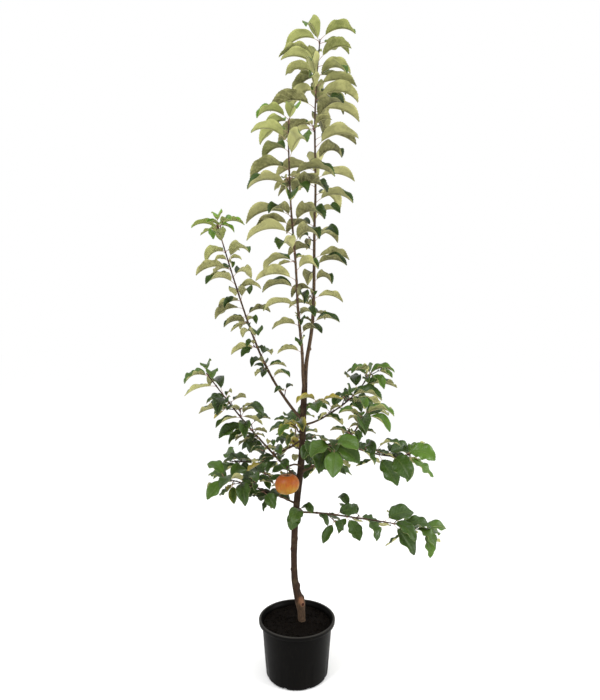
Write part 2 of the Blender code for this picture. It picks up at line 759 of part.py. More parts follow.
def spur_routes(trunk_route):
    """The fruit's spur, from inside the trunk to above the fruit, and its stalk down."""
    root = route_point(trunk_route, distance_at_height(trunk_route, SPUR_HEIGHT))[0].xyz
    centre = Vector(FRUIT_CENTRE)
    top = centre + Vector((0.0, 0.0, FRUIT_HEIGHT / 2 + STALK_DROP))
    middle = root.lerp(top, 0.5) + Vector((0.0, 0.0, SPUR_ARCH))
    foot = centre + Vector((0.0, 0.0, FRUIT_HEIGHT * STALK_SUNK))
    spur = smooth_route([(*place, SPUR_RADIUS) for place in (root, middle, top)], ROUTE_STEP)
    stalk = [Vector((*place, STALK_RADIUS)) for place in (top, foot)]
    return spur, stalk


def make_fruit(trunk_route, cutter, collection, look):
    """The fruit fused to its stalk and spur, clear of the trunk."""
    spur, stalk = spur_routes(trunk_route)
    fruit = add_object("fruit_spur", tube_mesh("fruit_spur", spur, 0), collection, look)
    fuse(fruit, [tube_mesh("fruit_stalk", stalk, 0), fruit_mesh()], "fruit_spur")
    subtract(fruit, cutter)


def main():
    clear_scene()
    parts = new_collection("potted_tree")
    cutters = new_collection("cutters")
    make_pot(parts, cutters, material("pot_plastic", (0.012, 0.012, 0.013), 0.42))
    make_compost(parts, material("compost", (0.020, 0.014, 0.010), 0.95))
    bark = material("bark", (0.075, 0.045, 0.032), 0.80)
    green = material("leaf_green", (0.070, 0.160, 0.035), 0.45)
    routes = all_routes()
    cutter_of = {"trunk": make_trunk(routes["trunk"], parts, cutters, bark)}
    make_fruit(routes["trunk"], cutter_of["trunk"], parts, material("fruit_skin", (0.62, 0.25, 0.06), 0.42))
    space = Space(routes)
    for name, shoot in SHOOTS.items():
        if shoot.bare:
            make_bough(name, routes[name], cutter_of, parts, cutters, bark)
        make_shoot(name, routes[name], space, cutter_of, parts, green)


main()
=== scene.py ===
import json
import random
from collections import namedtuple
from math import asin, atan2, copysign, cos, degrees, exp, hypot, pi, radians, sin, sqrt, tan

import bmesh
import bpy
import numpy as np
from mathutils import Matrix, Vector, noise

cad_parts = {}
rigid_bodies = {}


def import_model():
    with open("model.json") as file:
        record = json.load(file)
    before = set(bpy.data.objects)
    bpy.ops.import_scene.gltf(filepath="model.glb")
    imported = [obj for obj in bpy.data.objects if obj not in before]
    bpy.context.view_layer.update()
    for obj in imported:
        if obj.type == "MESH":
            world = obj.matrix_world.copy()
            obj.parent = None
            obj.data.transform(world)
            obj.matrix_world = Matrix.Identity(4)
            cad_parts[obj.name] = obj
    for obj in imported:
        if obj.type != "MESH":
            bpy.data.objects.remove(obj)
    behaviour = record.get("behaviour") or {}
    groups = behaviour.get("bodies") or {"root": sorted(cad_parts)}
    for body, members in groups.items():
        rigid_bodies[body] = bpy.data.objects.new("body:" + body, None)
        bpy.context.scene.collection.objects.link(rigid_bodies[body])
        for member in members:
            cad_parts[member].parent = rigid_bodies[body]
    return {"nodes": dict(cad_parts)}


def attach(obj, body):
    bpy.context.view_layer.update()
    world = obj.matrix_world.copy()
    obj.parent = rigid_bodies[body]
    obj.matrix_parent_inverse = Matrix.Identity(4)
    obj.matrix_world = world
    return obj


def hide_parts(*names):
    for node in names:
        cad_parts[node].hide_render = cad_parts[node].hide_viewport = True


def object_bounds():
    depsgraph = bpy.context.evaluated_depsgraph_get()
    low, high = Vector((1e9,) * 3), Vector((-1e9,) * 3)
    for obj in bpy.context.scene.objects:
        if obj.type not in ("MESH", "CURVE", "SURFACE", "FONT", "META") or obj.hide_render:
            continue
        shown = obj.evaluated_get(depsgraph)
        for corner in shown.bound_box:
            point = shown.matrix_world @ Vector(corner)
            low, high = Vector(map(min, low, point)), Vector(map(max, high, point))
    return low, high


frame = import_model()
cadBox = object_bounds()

print("frame loaded:", len(frame["nodes"]), "solids")


# Shader maths: a Wire is a socket that can stand in a sum, and a Look is a material being made.

class Wire:
    def __init__(self, look, socket):
        self.look = look
        self.socket = socket

    def maths(self, operation, *others):
        terms = dict(enumerate((self, *others)))
        return self.look.add("ShaderNodeMath", {"operation": operation}, terms)

    def __add__(self, other):
        return self.maths("ADD", other)

    def __mul__(self, other):
        return self.maths("MULTIPLY", other)

    def __sub__(self, other):
        return self.maths("SUBTRACT", other)

    def __rsub__(self, other):
        return self.look.add("ShaderNodeMath", {"operation": "SUBTRACT"}, {0: other, 1: self})

    def __abs__(self):
        return self.maths("ABSOLUTE")

    __radd__ = __add__
    __rmul__ = __mul__

    def ramp(self, low, high, first=0, last=1):
        # an eased step from first to last as the value goes from low to high
        return self.look.add("ShaderNodeMapRange", {"interpolation_type": "SMOOTHSTEP"},
                             {0: self, 1: low, 2: high, 3: first, 4: last})


class Look:
    def __init__(self, name, plain):
        self.material = bpy.data.materials.new(name)
        self.material.use_nodes = True
        self.tree = self.material.node_tree
        self.shader = self.tree.nodes["Principled BSDF"]
        for socket, value in plain.items():
            self.shader.inputs[socket].default_value = value

    def add(self, kind, settings={}, sockets={}, output=0):
        node = self.tree.nodes.new(kind)
        for setting, value in settings.items():
            setattr(node, setting, value)
        for socket, value in sockets.items():
            self.feed(node.inputs[socket], value)
        return Wire(self, node.outputs[output])

    def feed(self, socket, value):
        if isinstance(value, Wire):
            self.tree.links.new(value.socket, socket)
        else:
            socket.default_value = value

    def place(self):
        return self.add("ShaderNodeTexCoord", output="Object")

    def attribute(self, name):
        return self.add("ShaderNodeAttribute", {"attribute_name": name}, output="Vector")

    def split(self, wire):
        parts = self.add("ShaderNodeSeparateXYZ", {}, {0: wire}).socket.node
        return [Wire(self, output) for output in parts.outputs]

    def stretch(self, wire, scale, shift=(0, 0, 0)):
        return self.add("ShaderNodeMapping", {}, {"Vector": wire, "Scale": scale, "Location": shift})

    def grain(self, wire, scale, detail=4, roughness=0.55):
        return self.add("ShaderNodeTexNoise", {}, {"Vector": wire, "Scale": scale, "Detail": detail,
                                                   "Roughness": roughness})

    def cells(self, wire, scale, feature="F1"):
        return self.add("ShaderNodeTexVoronoi", {"feature": feature}, {"Vector": wire, "Scale": scale})

    def mix(self, amount, first, second):
        return self.add("ShaderNodeMix", {"data_type": "RGBA"}, {0: amount, 6: first, 7: second}, 2)

    def layers(self, colour, *coats):
        # each coat is how much of it lies on the ones before, and its colour
        for amount, paint in coats:
            colour = self.mix(amount, colour, paint)
        return colour

    def farFrom(self, wire, point):
        return self.add("ShaderNodeVectorMath", {"operation": "DISTANCE"}, {0: wire, 1: point}, "Value")

    def finish(self, colour, grain, height, rule):
        # the rule says how rough it is where the grain is low and high, and how deep its relief is
        rough = grain.ramp(0.3, 0.7, *rule["roughness"])
        bump = self.add("ShaderNodeBump", {}, {"Height": height, "Distance": rule["relief"],
                                               "Strength": 1})
        for socket, value in (("Base Color", colour), ("Roughness", rough), ("Normal", bump)):
            self.feed(self.shader.inputs[socket], value)
        return self.material


def tone(red, green, blue):
    # a colour as it is seen on a screen, 0 to 255, made linear
    return (*(((value / 255 + 0.055) / 1.055) ** 2.4 for value in (red, green, blue)), 1)


# Camera, floor and light: a plain white room with a large soft lamp on each side

studio = {
    "eye": (0.0095, -1.626, 1.015),
    "focalPixels": 515,
    "photoHeight": 700,               # in pixels
    "sensor": 36,
    "white": (1, 1, 1, 1),
    "worldStrength": 1,
    "floorReach": 60,
    "floorDrop": 0.0005,              # keeps the floor clear of the pot's underside
    "floorFinish": {"Base Color": (1, 1, 1, 1), "Roughness": 0.9, "Specular IOR Level": 0},
    "aim": (0, 0, 0.9),
    "lamps": (                        # name, place, size and power of each softbox
        ("leftLamp", (-1.9, -2.1, 3.1), 1.3, 75),
        ("rightLamp", (2.4, -0.9, 1.6), 1.1, 55),
    ),
}


def setCamera():
    camera = bpy.data.objects.new("camera", bpy.data.cameras.new("camera"))
    camera.data.lens = studio["focalPixels"] / studio["photoHeight"] * studio["sensor"]
    camera.data.sensor_width = studio["sensor"]
    camera.location = studio["eye"]
    camera.rotation_euler = (radians(90), 0, 0)
    bpy.context.scene.collection.objects.link(camera)
    bpy.context.scene.camera = camera


def setStudio():
    scene = bpy.context.scene
    scene.view_settings.view_transform = "Standard"
    scene.world = bpy.data.worlds.new("studio")
    scene.world.use_nodes = True
    background = scene.world.node_tree.nodes["Background"]
    background.inputs["Color"].default_value = studio["white"]
    background.inputs["Strength"].default_value = studio["worldStrength"]
    bm = bmesh.new()
    bmesh.ops.create_grid(bm, x_segments=1, y_segments=1, size=studio["floorReach"])
    bmesh.ops.translate(bm, vec=(0, 0, -studio["floorDrop"]), verts=bm.verts)
    floor = newPiece("floor", bm)
    floor.data.materials.append(Look("floorPaint", studio["floorFinish"]).material)
    for name, place, size, power in studio["lamps"]:
        lamp = bpy.data.objects.new(name, bpy.data.lights.new(name, "AREA"))
        lamp.data.size = size
        lamp.data.energy = power
        lamp.location = place
        toAim = Vector(studio["aim"]) - lamp.location
        lamp.rotation_euler = toAim.to_track_quat("-Z", "Y").to_euler()
        scene.collection.objects.link(lamp)
    print("camera, floor and light set")


def newPiece(name, bm):
    mesh = bpy.data.meshes.new(name)
    bm.to_mesh(mesh)
    bm.free()
    piece = bpy.data.objects.new(name, mesh)
    bpy.context.scene.collection.objects.link(piece)
    return piece


def layerOf(layers, name):
    return layers.get(name) or layers.new(name)


def gridPoints(bm, columns, rows):
    # a flat grid with its map, each point with its column and its row
    made = bmesh.ops.create_grid(bm, x_segments=columns, y_segments=rows, size=0.5, calc_uvs=True)
    return [(vert, round((vert.co.x + 0.5) * columns), round((vert.co.y + 0.5) * rows))
            for vert in made["verts"]]


def neaten(bm, weld, outward=True):
    # joins the points that meet, turns the faces outwards and smooths them
    bmesh.ops.remove_doubles(bm, verts=bm.verts, dist=weld)
    if outward:
        bmesh.ops.recalc_face_normals(bm, faces=bm.faces)
    for face in bm.faces:
        face.smooth = True


def workedPiece(name, jobs, work, weld=0.000002, batch=20, outward=True):
    # does the jobs in small meshes, which is far quicker than in one large one, and joins those
    parts = []
    for first in range(0, len(jobs), batch):
        bm = bmesh.new()
        for job in jobs[first:first + batch]:
            work(bm, job)
        neaten(bm, weld, outward)
        parts.append(newPiece(name, bm))
    with bpy.context.temp_override(active_object=parts[0], object=parts[0], selected_objects=parts,
                                   selected_editable_objects=parts):
        bpy.ops.object.join()
    return parts[0]


def turned(points, steps):
    # a profile of radius and height, from axis to axis, turned once round
    bm = bmesh.new()
    line = [bm.verts.new((radius, 0, height)) for radius, height in points]
    edges = [bm.edges.new(pair) for pair in zip(line, line[1:])]
    bmesh.ops.spin(bm, geom=line + edges, cent=(0, 0, 0), axis=(0, 0, 1), angle=2 * pi,
                   steps=steps, use_merge=True, use_duplicate=False)
    neaten(bm, 0.00002)
    return bm


def settle(piece, slotName, nodes, *materials):
    # gives a finished piece its materials, its body and the solids it stands for
    for material in materials:
        piece.data.materials.append(material)
    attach(piece, "root")
    if nodes:
        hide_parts(*nodes)
    print(piece.name, "done:", len(piece.data.polygons), "faces")


# How the plant grows. Lengths in metres, angles in degrees. The same rule as the solids'.

gap = 0.0003
soilLevel = 0.156
mainAxis = (
    (0.0142, 0, 0.164, 0.0128), (0.013, 0, 0.192, 0.0128), (0.01, 0, 0.22, 0.0166),
    (0.0005, 0, 0.25, 0.0125), (-0.0064, 0.001, 0.284, 0.0112), (-0.0095, 0.003, 0.352, 0.0103),
    (-0.0073, 0.004, 0.446, 0.0104), (0, 0, 0.541, 0.0108), (0.0136, -0.003, 0.662, 0.0105),
    (0.019, 0, 0.794, 0.01), (0.0225, 0.001, 0.87, 0.0096), (0.03, 0.006, 0.975, 0.0066),
    (0.0478, 0.018, 1.088, 0.0058), (0.054, 0.028, 1.21, 0.0052), (0.056, 0.04, 1.397, 0.0044),
    (0.06, 0.048, 1.545, 0.0037), (0.058, 0.056, 1.755, 0.0029), (0.0645, 0.06, 1.905, 0.0024),
    (0.075, 0.062, 2.032, 0.0019),
)
frontAxis = (
    (0.0232, 0.001, 0.884, 0.0052), (0.0185, -0.012, 0.935, 0.005), (0.0157, -0.022, 1.015, 0.0046),
    (0.0035, -0.037, 1.14, 0.0041), (-0.0043, -0.048, 1.285, 0.0036), (-0.019, -0.056, 1.465, 0.0029),
    (-0.0255, -0.06, 1.65, 0.0022), (-0.023, -0.06, 1.72, 0.0018),
)
limbRule = {"footRadius": 0.0145, "fork": 0.876, "step": 0.03, "sway": 0.004, "swayWaves": 1.5}

Bough = namedtuple("Bough", "parent height heading reach rise arch radius tip")
boughs = {
    "left_high": Bough("trunk", 0.794, 160.7, 0.303, 0.643, -0.1, 0.0052, 0.0019),
    "left_middle": Bough("trunk", 0.604, 200, 0.293, 0.343, -0.014, 0.0038, 0.0017),
    "left_low": Bough("trunk", 0.529, 197.7, 0.231, 0.098, 0.007, 0.0032, 0.0016),
    "left_back": Bough("trunk", 0.734, 155.6, 0.266, -0.093, -0.025, 0.0032, 0.0016),
    "right_high": Bough("trunk", 0.778, 23.3, 0.253, 0.16, -0.032, 0.0036, 0.0017),
    "right_middle": Bough("trunk", 0.633, -28.5, 0.23, 0.2, -0.033, 0.004, 0.0018),
    "right_side": Bough("right_middle", 0.6, -8.9, 0.194, -0.03, -0.018, 0.0026, 0.0015),
    "right_low": Bough("trunk", 0.5035, 6.7, 0.429, -0.081, 0.012, 0.0034, 0.0015),
    "front": Bough("trunk", 0.702, -62, 0.2, 0.04, 0.01, 0.0032, 0.0016),
    "back": Bough("trunk", 0.66, 95, 0.24, 0.11, -0.02, 0.0034, 0.0016),
    "back_left": Bough("trunk", 0.56, 128, 0.23, 0.03, 0.01, 0.0032, 0.0016),
    "back_right": Bough("trunk", 0.62, 58, 0.25, 0.02, 0.012, 0.0032, 0.0016),
    "spur_low": Bough("trunk", 0.516, -72, 0.06, 0.008, 0, 0.0022, 0.0016),
    "spur_left": Bough("trunk", 0.748, -112, 0.085, 0.045, 0, 0.0024, 0.0016),
    "spur_right": Bough("trunk", 0.838, -35, 0.07, 0.02, 0, 0.0024, 0.0016),
    "spur_back": Bough("trunk", 0.765, 110, 0.08, 0.025, 0, 0.0024, 0.0016),
}

# Share of the limb that is bare, leaves, twigs, longest leaf, slope of the leaf tips, how far the
# leaves turn to the light, seed and fold of the blades. Then the spray's own colours: how fresh at
# its tip, how light, and the share of yellow leaves. Last, how many single leaves are tried where
# there is still room, the stretch of the spray they are tried on, and how many side spurs.
Shoot = namedtuple("Shoot", "bare leaves twigs leafLength droop tilt seed fold fresh light yellow "
                            "singles start end spurs")
shoots = {
    "leader_back": Shoot(0.19, 36, 0, 0.166, -50, 2, 206, 46, 0.5, 0.35, 0, 14, 0.74, 0.93, 4),
    "leader_front": Shoot(0.14, 26, 0, 0.162, -50, 2, 198, 46, 0.6, 0.3, 0, 4, 0.1, 0.9, 3),
    "left_high": Shoot(0.22, 20, 0, 0.132, -52, 6, 240, 42, 1, 0.35, 0, 8, 0.05, 0.95, 9),
    "left_middle": Shoot(0.2, 12, 1, 0.12, -54, 12, 223, 36, 0.2, 0.35, 0.02, 10, 0.05, 0.98, 9),
    "left_low": Shoot(0.22, 8, 1, 0.116, -66, 30, 68, 24, 0.2, 0.4, 0.06, 5, 0.05, 0.95, 9),
    "left_back": Shoot(0.18, 10, 1, 0.106, -57, 22, 99, 32, 0.1, 0.35, 0.04, 5, 0.05, 0.95, 6),
    "right_high": Shoot(0.22, 11, 1, 0.126, -52, 14, 49, 38, 0.3, 0.5, 0.03, 10, 0.05, 0.98, 7),
    "right_middle": Shoot(0.64, 7, 0, 0.128, -54, 16, 38, 36, 0.3, 0.5, 0.04, 4, 0.05, 0.95, 7),
    "right_side": Shoot(0.12, 9, 1, 0.118, -66, 28, 37, 26, 0.3, 0.7, 0, 4, 0.05, 0.95, 6),
    "right_low": Shoot(0.14, 12, 1, 0.114, -74, 34, 215, 20, 0.3, 0.7, 0, 6, 0.1, 0.9, 4),
    "front": Shoot(0.26, 8, 1, 0.11, -62, 24, 107, 22, 0.2, 0.35, 0, 0, 0, 1, 4),
    "back": Shoot(0.24, 9, 1, 0.112, -56, 16, 148, 30, 0.2, 0.4, 0.03, 5, 0.1, 0.95, 5),
    "back_left": Shoot(0.24, 8, 1, 0.112, -60, 20, 136, 28, 0.2, 0.4, 0.03, 5, 0.1, 0.95, 6),
    "back_right": Shoot(0.24, 8, 1, 0.112, -60, 20, 84, 28, 0.2, 0.4, 0.03, 5, 0.1, 0.95, 6),
    "spur_low": Shoot(0, 4, 0, 0.1, -74, 30, 111, 22, 0.1, 0.45, 0, 0, 0, 1, 0),
    "spur_left": Shoot(0, 4, 0, 0.1, -50, 14, 103, 34, 0.2, 0.5, 0.8, 0, 0, 1, 0),
    "spur_right": Shoot(0, 4, 0, 0.1, -52, 14, 196, 34, 0.2, 0.5, 0.5, 0, 0, 1, 0),
    "spur_back": Shoot(0, 4, 0, 0.1, -52, 14, 158, 34, 0.2, 0.5, 0.3, 0, 0, 1, 0),
}
leafRule = {
    "lightHeading": -90, "turn": 144, "turnJitter": 16, "angle": 52, "tipAngle": 38,
    "firstLeaf": 0.006, "firstSpurLeaf": 0.028, "lastLeaf": 0.002,
    "tuft": 3, "tuftSpacing": 0.006, "tuftAngle": 48,
    "footSize": 0.56, "fullShare": 0.6, "tipSize": 0.8, "tipShare": 0.84,
    "sizeJitter": (0.9, 1.08), "droopJitter": 12, "rollJitter": 20, "shadeRoll": 16,
    "steepest": (-50, 66),
    "twigLength": 0.03, "twigJitter": (0.7, 1.3), "twigLeaves": 2, "twigLeafSize": 0.8,
    "twigSpread": 1.6,                # above 1 keeps the twigs to the foot of the spray
    "stalk": 0.17, "width": 0.54, "shadeWidth": 0.18, "skew": 0.92, "fullness": 0.78,
    "fold": tan(radians(36)),
    "leafClear": 0.008, "limbClear": 0.01, "spaceClear": 0.003, "near": 0.15, "lineSpacing": 0.012,
    "sampleShares": (0.32, 0.48, 0.64, 0.82, 1), "sampleSides": (-1, -0.5, 0, 0.5, 1),
    "tryTurns": (0, 32, -32, 64, -64, 100, -100),
}
fruit = {
    "radius": 0.0365, "height": 0.062, "centre": (-0.029, -0.09, 0.615), "fullness": 0.85,
    "dimpleDepth": 0.27, "dimpleWidth": 0.38, "rows": 48, "steps": 64,
    "taper": 0.05, "lobes": 5, "lobeDepth": 0.016, "unevenness": 0.012, "unevenScale": 40, "lean": 0.04,
    "sampleRows": 6, "sampleTurn": 30,                 # of the points that leaves keep clear of
    "spurHeight": 0.65, "spurRadii": (0.003, 0.0027, 0.0026), "spurArch": 0.006, "spurSides": 10,
    "spurSeed": 50, "spurNodes": (0.03, 0.045, 0.052, 0.075),
    "stalkDrop": 0.02, "stalkRadii": (0.0019, 0.0012, 0.0013), "stalkSides": 8, "stalkFoot": 0.34,
    "stalkBend": (0.001, 0.004, 0.004), "stalkSink": 0.001, "spacing": 0.002,
    "groundTones": (tone(148, 108, 24), tone(154, 94, 25)), "blushTone": tone(138, 62, 18),
    "streakTone": tone(108, 34, 14), "paleTone": tone(136, 112, 36), "dotTone": tone(186, 148, 86),
    # the cavity tone is painted shadow in the hollow of the stem cavity
    "russetTone": tone(112, 84, 40), "cavityShadowTone": tone(58, 36, 16), "calyxTone": tone(60, 40, 24),
    "roughness": (0.32, 0.5), "relief": 0.0005,
}
Leaf = namedtuple("Leaf", "root heading start end roll length width")
Grown = namedtuple("Grown", "leaf spray share")


def smoothRoute(points, step):
    knots = [Vector(point) for point in points]
    padded = [knots[0], *knots, knots[-1]]
    route = []
    for before, first, second, after in zip(padded, padded[1:], padded[2:], padded[3:]):
        count = max(1, round((second.xyz - first.xyz).length / step))
        for index in range(count):
            t = index / count
            bend = 2 * before - 5 * first + 4 * second - after
            twist = 3 * first - before - 3 * second + after
            route.append(0.5 * (2 * first + (second - before) * t + bend * t * t + twist * t ** 3))
    route.append(knots[-1])
    return route


def routeLength(route):
    return sum((second.xyz - first.xyz).length for first, second in zip(route, route[1:]))


def routePoint(route, distance):
    travelled = 0
    for first, second in zip(route, route[1:]):
        run = (second.xyz - first.xyz).length
        if travelled + run >= distance:
            break
        travelled += run
    share = min(1, (distance - travelled) / run)
    return first.lerp(second, share), (second.xyz - first.xyz).normalized()


def distanceAtHeight(route, height):
    travelled = 0
    for first, second in zip(route, route[1:]):
        run = (second.xyz - first.xyz).length
        if second.z >= height:
            return travelled + run * (height - first.z) / (second.z - first.z)
        travelled += run
    return travelled


def cutRoute(route, start, end):
    stretch = [routePoint(route, start)[0]]
    travelled = 0
    for first, second in zip(route, route[1:]):
        travelled += (second.xyz - first.xyz).length
        if start + gap < travelled < end - gap:
            stretch.append(second)
    stretch.append(routePoint(route, end)[0])
    return stretch


def levelDirection(heading):
    angle = radians(heading)
    return Vector((cos(angle), sin(angle), 0))


def raised(height):
    return Vector((0, 0, height))


def pastShare(share, start):
    # how far a share has come on its way from the start to 1
    return max(0, (share - start) / (1 - start))


def boughRoute(bough, root):
    outward = levelDirection(bough.heading)
    sideways = levelDirection(bough.heading + 90)
    count = max(2, round(hypot(bough.reach, bough.rise) / limbRule["step"]))
    route = []
    for index in range(count + 1):
        t = index / count
        wave = sin(2 * pi * limbRule["swayWaves"] * t + bough.heading)
        place = root + outward * bough.reach * t + sideways * limbRule["sway"] * wave * min(1, 4 * t)
        place.z += bough.rise * t + bough.arch * 4 * t * (1 - t)
        route.append(Vector((*place, bough.radius + (bough.tip - bough.radius) * t)))
    return route


def allRoutes():
    mainRoute = smoothRoute(mainAxis, limbRule["step"])
    fork = distanceAtHeight(mainRoute, limbRule["fork"])
    foot = Vector((mainRoute[0].x, mainRoute[0].y, soilLevel + gap, limbRule["footRadius"]))
    routes = {
        "trunk": [foot, *cutRoute(mainRoute, 0, fork - gap / 2)],
        "leader_back": cutRoute(mainRoute, fork + gap / 2, routeLength(mainRoute)),
        "leader_front": smoothRoute(frontAxis, limbRule["step"]),
    }
    for name, bough in boughs.items():
        parent = routes[bough.parent]
        distance = bough.height * routeLength(parent)
        if bough.parent == "trunk":
            distance = distanceAtHeight(parent, bough.height)
        routes[name] = boughRoute(bough, routePoint(parent, distance)[0].xyz)
    return routes


def leafFrame(leaf, share, twist=0):
    # the midrib's point and its side and upward directions, at a share of the leaf's length
    start = radians(leaf.start)
    bend = radians(leaf.end) - start
    slope = start + bend * share
    along = leaf.length * (sin(slope) - sin(start)) / bend
    climb = leaf.length * (cos(start) - cos(slope)) / bend
    ahead = levelDirection(leaf.heading)
    side = levelDirection(leaf.heading + 90)
    upward = raised(cos(slope)) - ahead * sin(slope)
    roll = radians(leaf.roll + twist) * min(1, share / leafRule["stalk"])
    place = leaf.root + ahead * along + raised(climb)
    rolledSide = side * cos(roll) + upward * sin(roll)
    rolledUp = upward * cos(roll) - side * sin(roll)
    return place, rolledSide, rolledUp


def bladeHalf(leaf, share):
    shape = max(0, sin(pi * pastShare(share, leafRule["stalk"]) ** leafRule["skew"]))
    return leaf.width / 2 * shape ** leafRule["fullness"]


def leafSamples(leaf):
    samples = []
    for share in leafRule["sampleShares"]:
        place, side, upward = leafFrame(leaf, share)
        half = bladeHalf(leaf, share)
        for across in leafRule["sampleSides"]:
            rise = upward * half * abs(across) * leafRule["fold"]
            samples.append(place + side * half * across + rise)
    return np.array(samples)


def distances(points, cloud):
    return np.sqrt(((points[:, None, :] - cloud[None, :, :]) ** 2).sum(axis=2))


def lineCloud(route, start, end):
    count = max(1, round((end - start) / leafRule["lineSpacing"]))
    places = [start + (end - start) * index / count for index in range(count + 1)]
    return np.array([tuple(routePoint(route, place)[0]) for place in places])


def fruitSamples():
    samples = []
    rows = fruit["sampleRows"]
    for row in range(rows + 1):
        climb = pi * (row / rows - 0.5)
        for heading in range(0, 360, fruit["sampleTurn"]):
            level = levelDirection(heading) * cos(climb) * fruit["radius"]
            rise = raised(sin(climb) * fruit["height"] / 2)
            samples.append(Vector(fruit["centre"]) + level + rise)
    return np.array(samples)


class Space:
    # what each leaf is tested against: bare wood, the other sprays, the fruit and the leaves so far
    def __init__(self, routes):
        self.sprays = {}
        wood = []
        for name, route in routes.items():
            length = routeLength(route)
            bare = length * (shoots[name].bare if name in shoots else 1)
            if bare > 0:
                wood.append(lineCloud(route, 0, bare))
            if bare < length:
                self.sprays[name] = lineCloud(route, bare, length)[:, :3]
        self.wood = np.concatenate(wood)
        self.leaves = fruitSamples()

    def hasRoom(self, samples, name):
        toWood = distances(samples, self.wood[:, :3]) - self.wood[None, :, 3]
        if toWood.min() < leafRule["limbClear"]:
            return False
        close = (np.abs(self.leaves - samples.mean(axis=0)) < leafRule["near"]).all(axis=1)
        if close.any() and distances(samples, self.leaves[close]).min() < leafRule["leafClear"]:
            return False
        others = [cloud for other, cloud in self.sprays.items() if other != name]
        toOwn = distances(samples, self.sprays[name]).min(axis=1)
        toOthers = distances(samples, np.concatenate(others)).min(axis=1)
        return bool((toOwn + leafRule["spaceClear"] < toOthers).all())

    def take(self, samples):
        self.leaves = np.concatenate((self.leaves, samples))


def leafSize(share):
    rule = leafRule
    grown = rule["footSize"] + (1 - rule["footSize"]) * min(1, share / rule["fullShare"])
    return grown * (1 - (1 - rule["tipSize"]) * pastShare(share, rule["tipShare"]))


def leavingDirection(along, turn, angle):
    level = Vector((-along.y, along.x, 0)).normalized()
    across = along.cross(level)
    radial = level * cos(radians(turn)) + across * sin(radians(turn))
    return radial * sin(radians(angle)) + along * cos(radians(angle))


def placeLeaf(space, name, share, root, direction, length, width, droop, roll):
    # a list of the leaf, in the first of a few headings where it has room, or an empty one
    heading = degrees(atan2(direction.y, direction.x))
    start = degrees(asin(max(-1, min(1, direction.z))))
    start = max(leafRule["steepest"][0], min(leafRule["steepest"][1], start))
    tilt = shoots[name].tilt
    for turn in leafRule["tryTurns"]:
        toLight = radians(heading + turn - leafRule["lightHeading"])
        turnedDroop = droop + tilt * (1 - cos(toLight))
        turnedRoll = roll + tilt * sin(toLight)
        leaf = Leaf(root, heading + turn, start, turnedDroop, turnedRoll, length, width)
        samples = leafSamples(leaf)
        if space.hasRoom(samples, name):
            space.take(samples)
            return [Grown(leaf, name, share)]
    return []


def growSpray(name, route, space):
    rule = leafRule
    shoot = shoots[name]
    rng = random.Random(shoot.seed)
    length = routeLength(route)
    first = shoot.bare * length + rule["firstLeaf"] if shoot.bare else rule["firstSpurLeaf"]
    tuft = length - rule["lastLeaf"] - rule["tuftSpacing"] * rule["tuft"]
    twigNodes = {round((index + 0.5) * shoot.leaves / (shoot.twigs * rule["twigSpread"]))
                 for index in range(shoot.twigs)}
    turn = rng.uniform(0, 360)
    grown = []
    twigs = []
    for index in range(shoot.leaves + rule["tuft"]):
        share = min(1, index / (shoot.leaves - 1))
        tuftStep = max(0, index + 1 - shoot.leaves)
        distance = first + (tuft - first) * share + tuftStep * rule["tuftSpacing"]
        place, along = routePoint(route, distance)
        shade = 1 - abs(along.z)
        turn += rule["turn"] + rng.uniform(-rule["turnJitter"], rule["turnJitter"])
        angle = rule["angle"] + (rule["tipAngle"] - rule["angle"]) * share ** 3
        angle = rule["tuftAngle"] if tuftStep else angle
        direction = leavingDirection(along, turn, angle)
        size = shoot.leafLength * leafSize(share) * rng.uniform(*rule["sizeJitter"])
        droop = shoot.droop + rng.uniform(-rule["droopJitter"], rule["droopJitter"])
        roll = rng.uniform(-1, 1) * (rule["rollJitter"] + rule["shadeRoll"] * shade)
        widthShare = (1 - rule["stalk"]) * (rule["width"] + rule["shadeWidth"] * shade)
        twigLength = rule["twigLength"] * rng.uniform(*rule["twigJitter"])
        if index not in twigNodes:
            grown += placeLeaf(space, name, share, place.xyz, direction, size, size * widthShare,
                               droop, roll)
            continue
        end = place.xyz + direction * twigLength
        rosette = []
        for petal in range(rule["twigLeaves"]):
            around = turn + petal * 360 / rule["twigLeaves"]
            outward = leavingDirection(direction, around, rule["angle"])
            root = end - direction * rule["tuftSpacing"] * (petal + 0.5)
            small = size * rule["twigLeafSize"]
            rosette += placeLeaf(space, name, share, root, outward, small, small * widthShare,
                                 droop, roll)
        if rosette:
            twigs.append((place.xyz, end))
            grown += rosette
    return grown, twigs


# Single leaves wherever a spray still has room for one

extras = {"seed": 311, "angle": (36, 60), "sizes": (0.72, 0.98)}


def plainWidth(size):
    return size * (1 - leafRule["stalk"]) * leafRule["width"]


def growExtras(name, route, space):
    shoot = shoots[name]
    rng = random.Random(extras["seed"] + shoot.seed)
    length = routeLength(route)
    grown = []
    for _ in range(shoot.singles):
        share = rng.uniform(shoot.start, shoot.end)
        place, along = routePoint(route, length * (shoot.bare + (1 - shoot.bare) * share))
        direction = leavingDirection(along, rng.uniform(0, 360), rng.uniform(*extras["angle"]))
        size = shoot.leafLength * leafSize(share) * rng.uniform(*extras["sizes"])
        droop = shoot.droop + rng.uniform(-1, 1) * leafRule["droopJitter"]
        roll = rng.uniform(-1, 1) * leafRule["rollJitter"]
        grown += placeLeaf(space, name, share, place.xyz, direction, size, plainWidth(size),
                           droop, roll)
    return grown, []


# Short side spurs with small leaves, where the crown still has room

spurlets = {
    "seed": 77, "along": (0.1, 0.97), "angle": (45, 75), "lift": 0.35, "length": (0.01, 0.038),
    "leaves": (2, 4), "leafLength": (0.042, 0.08), "leafSpacing": 0.003,
    "droopJitter": (-20, 30), "rollJitter": (-35, 35),
}


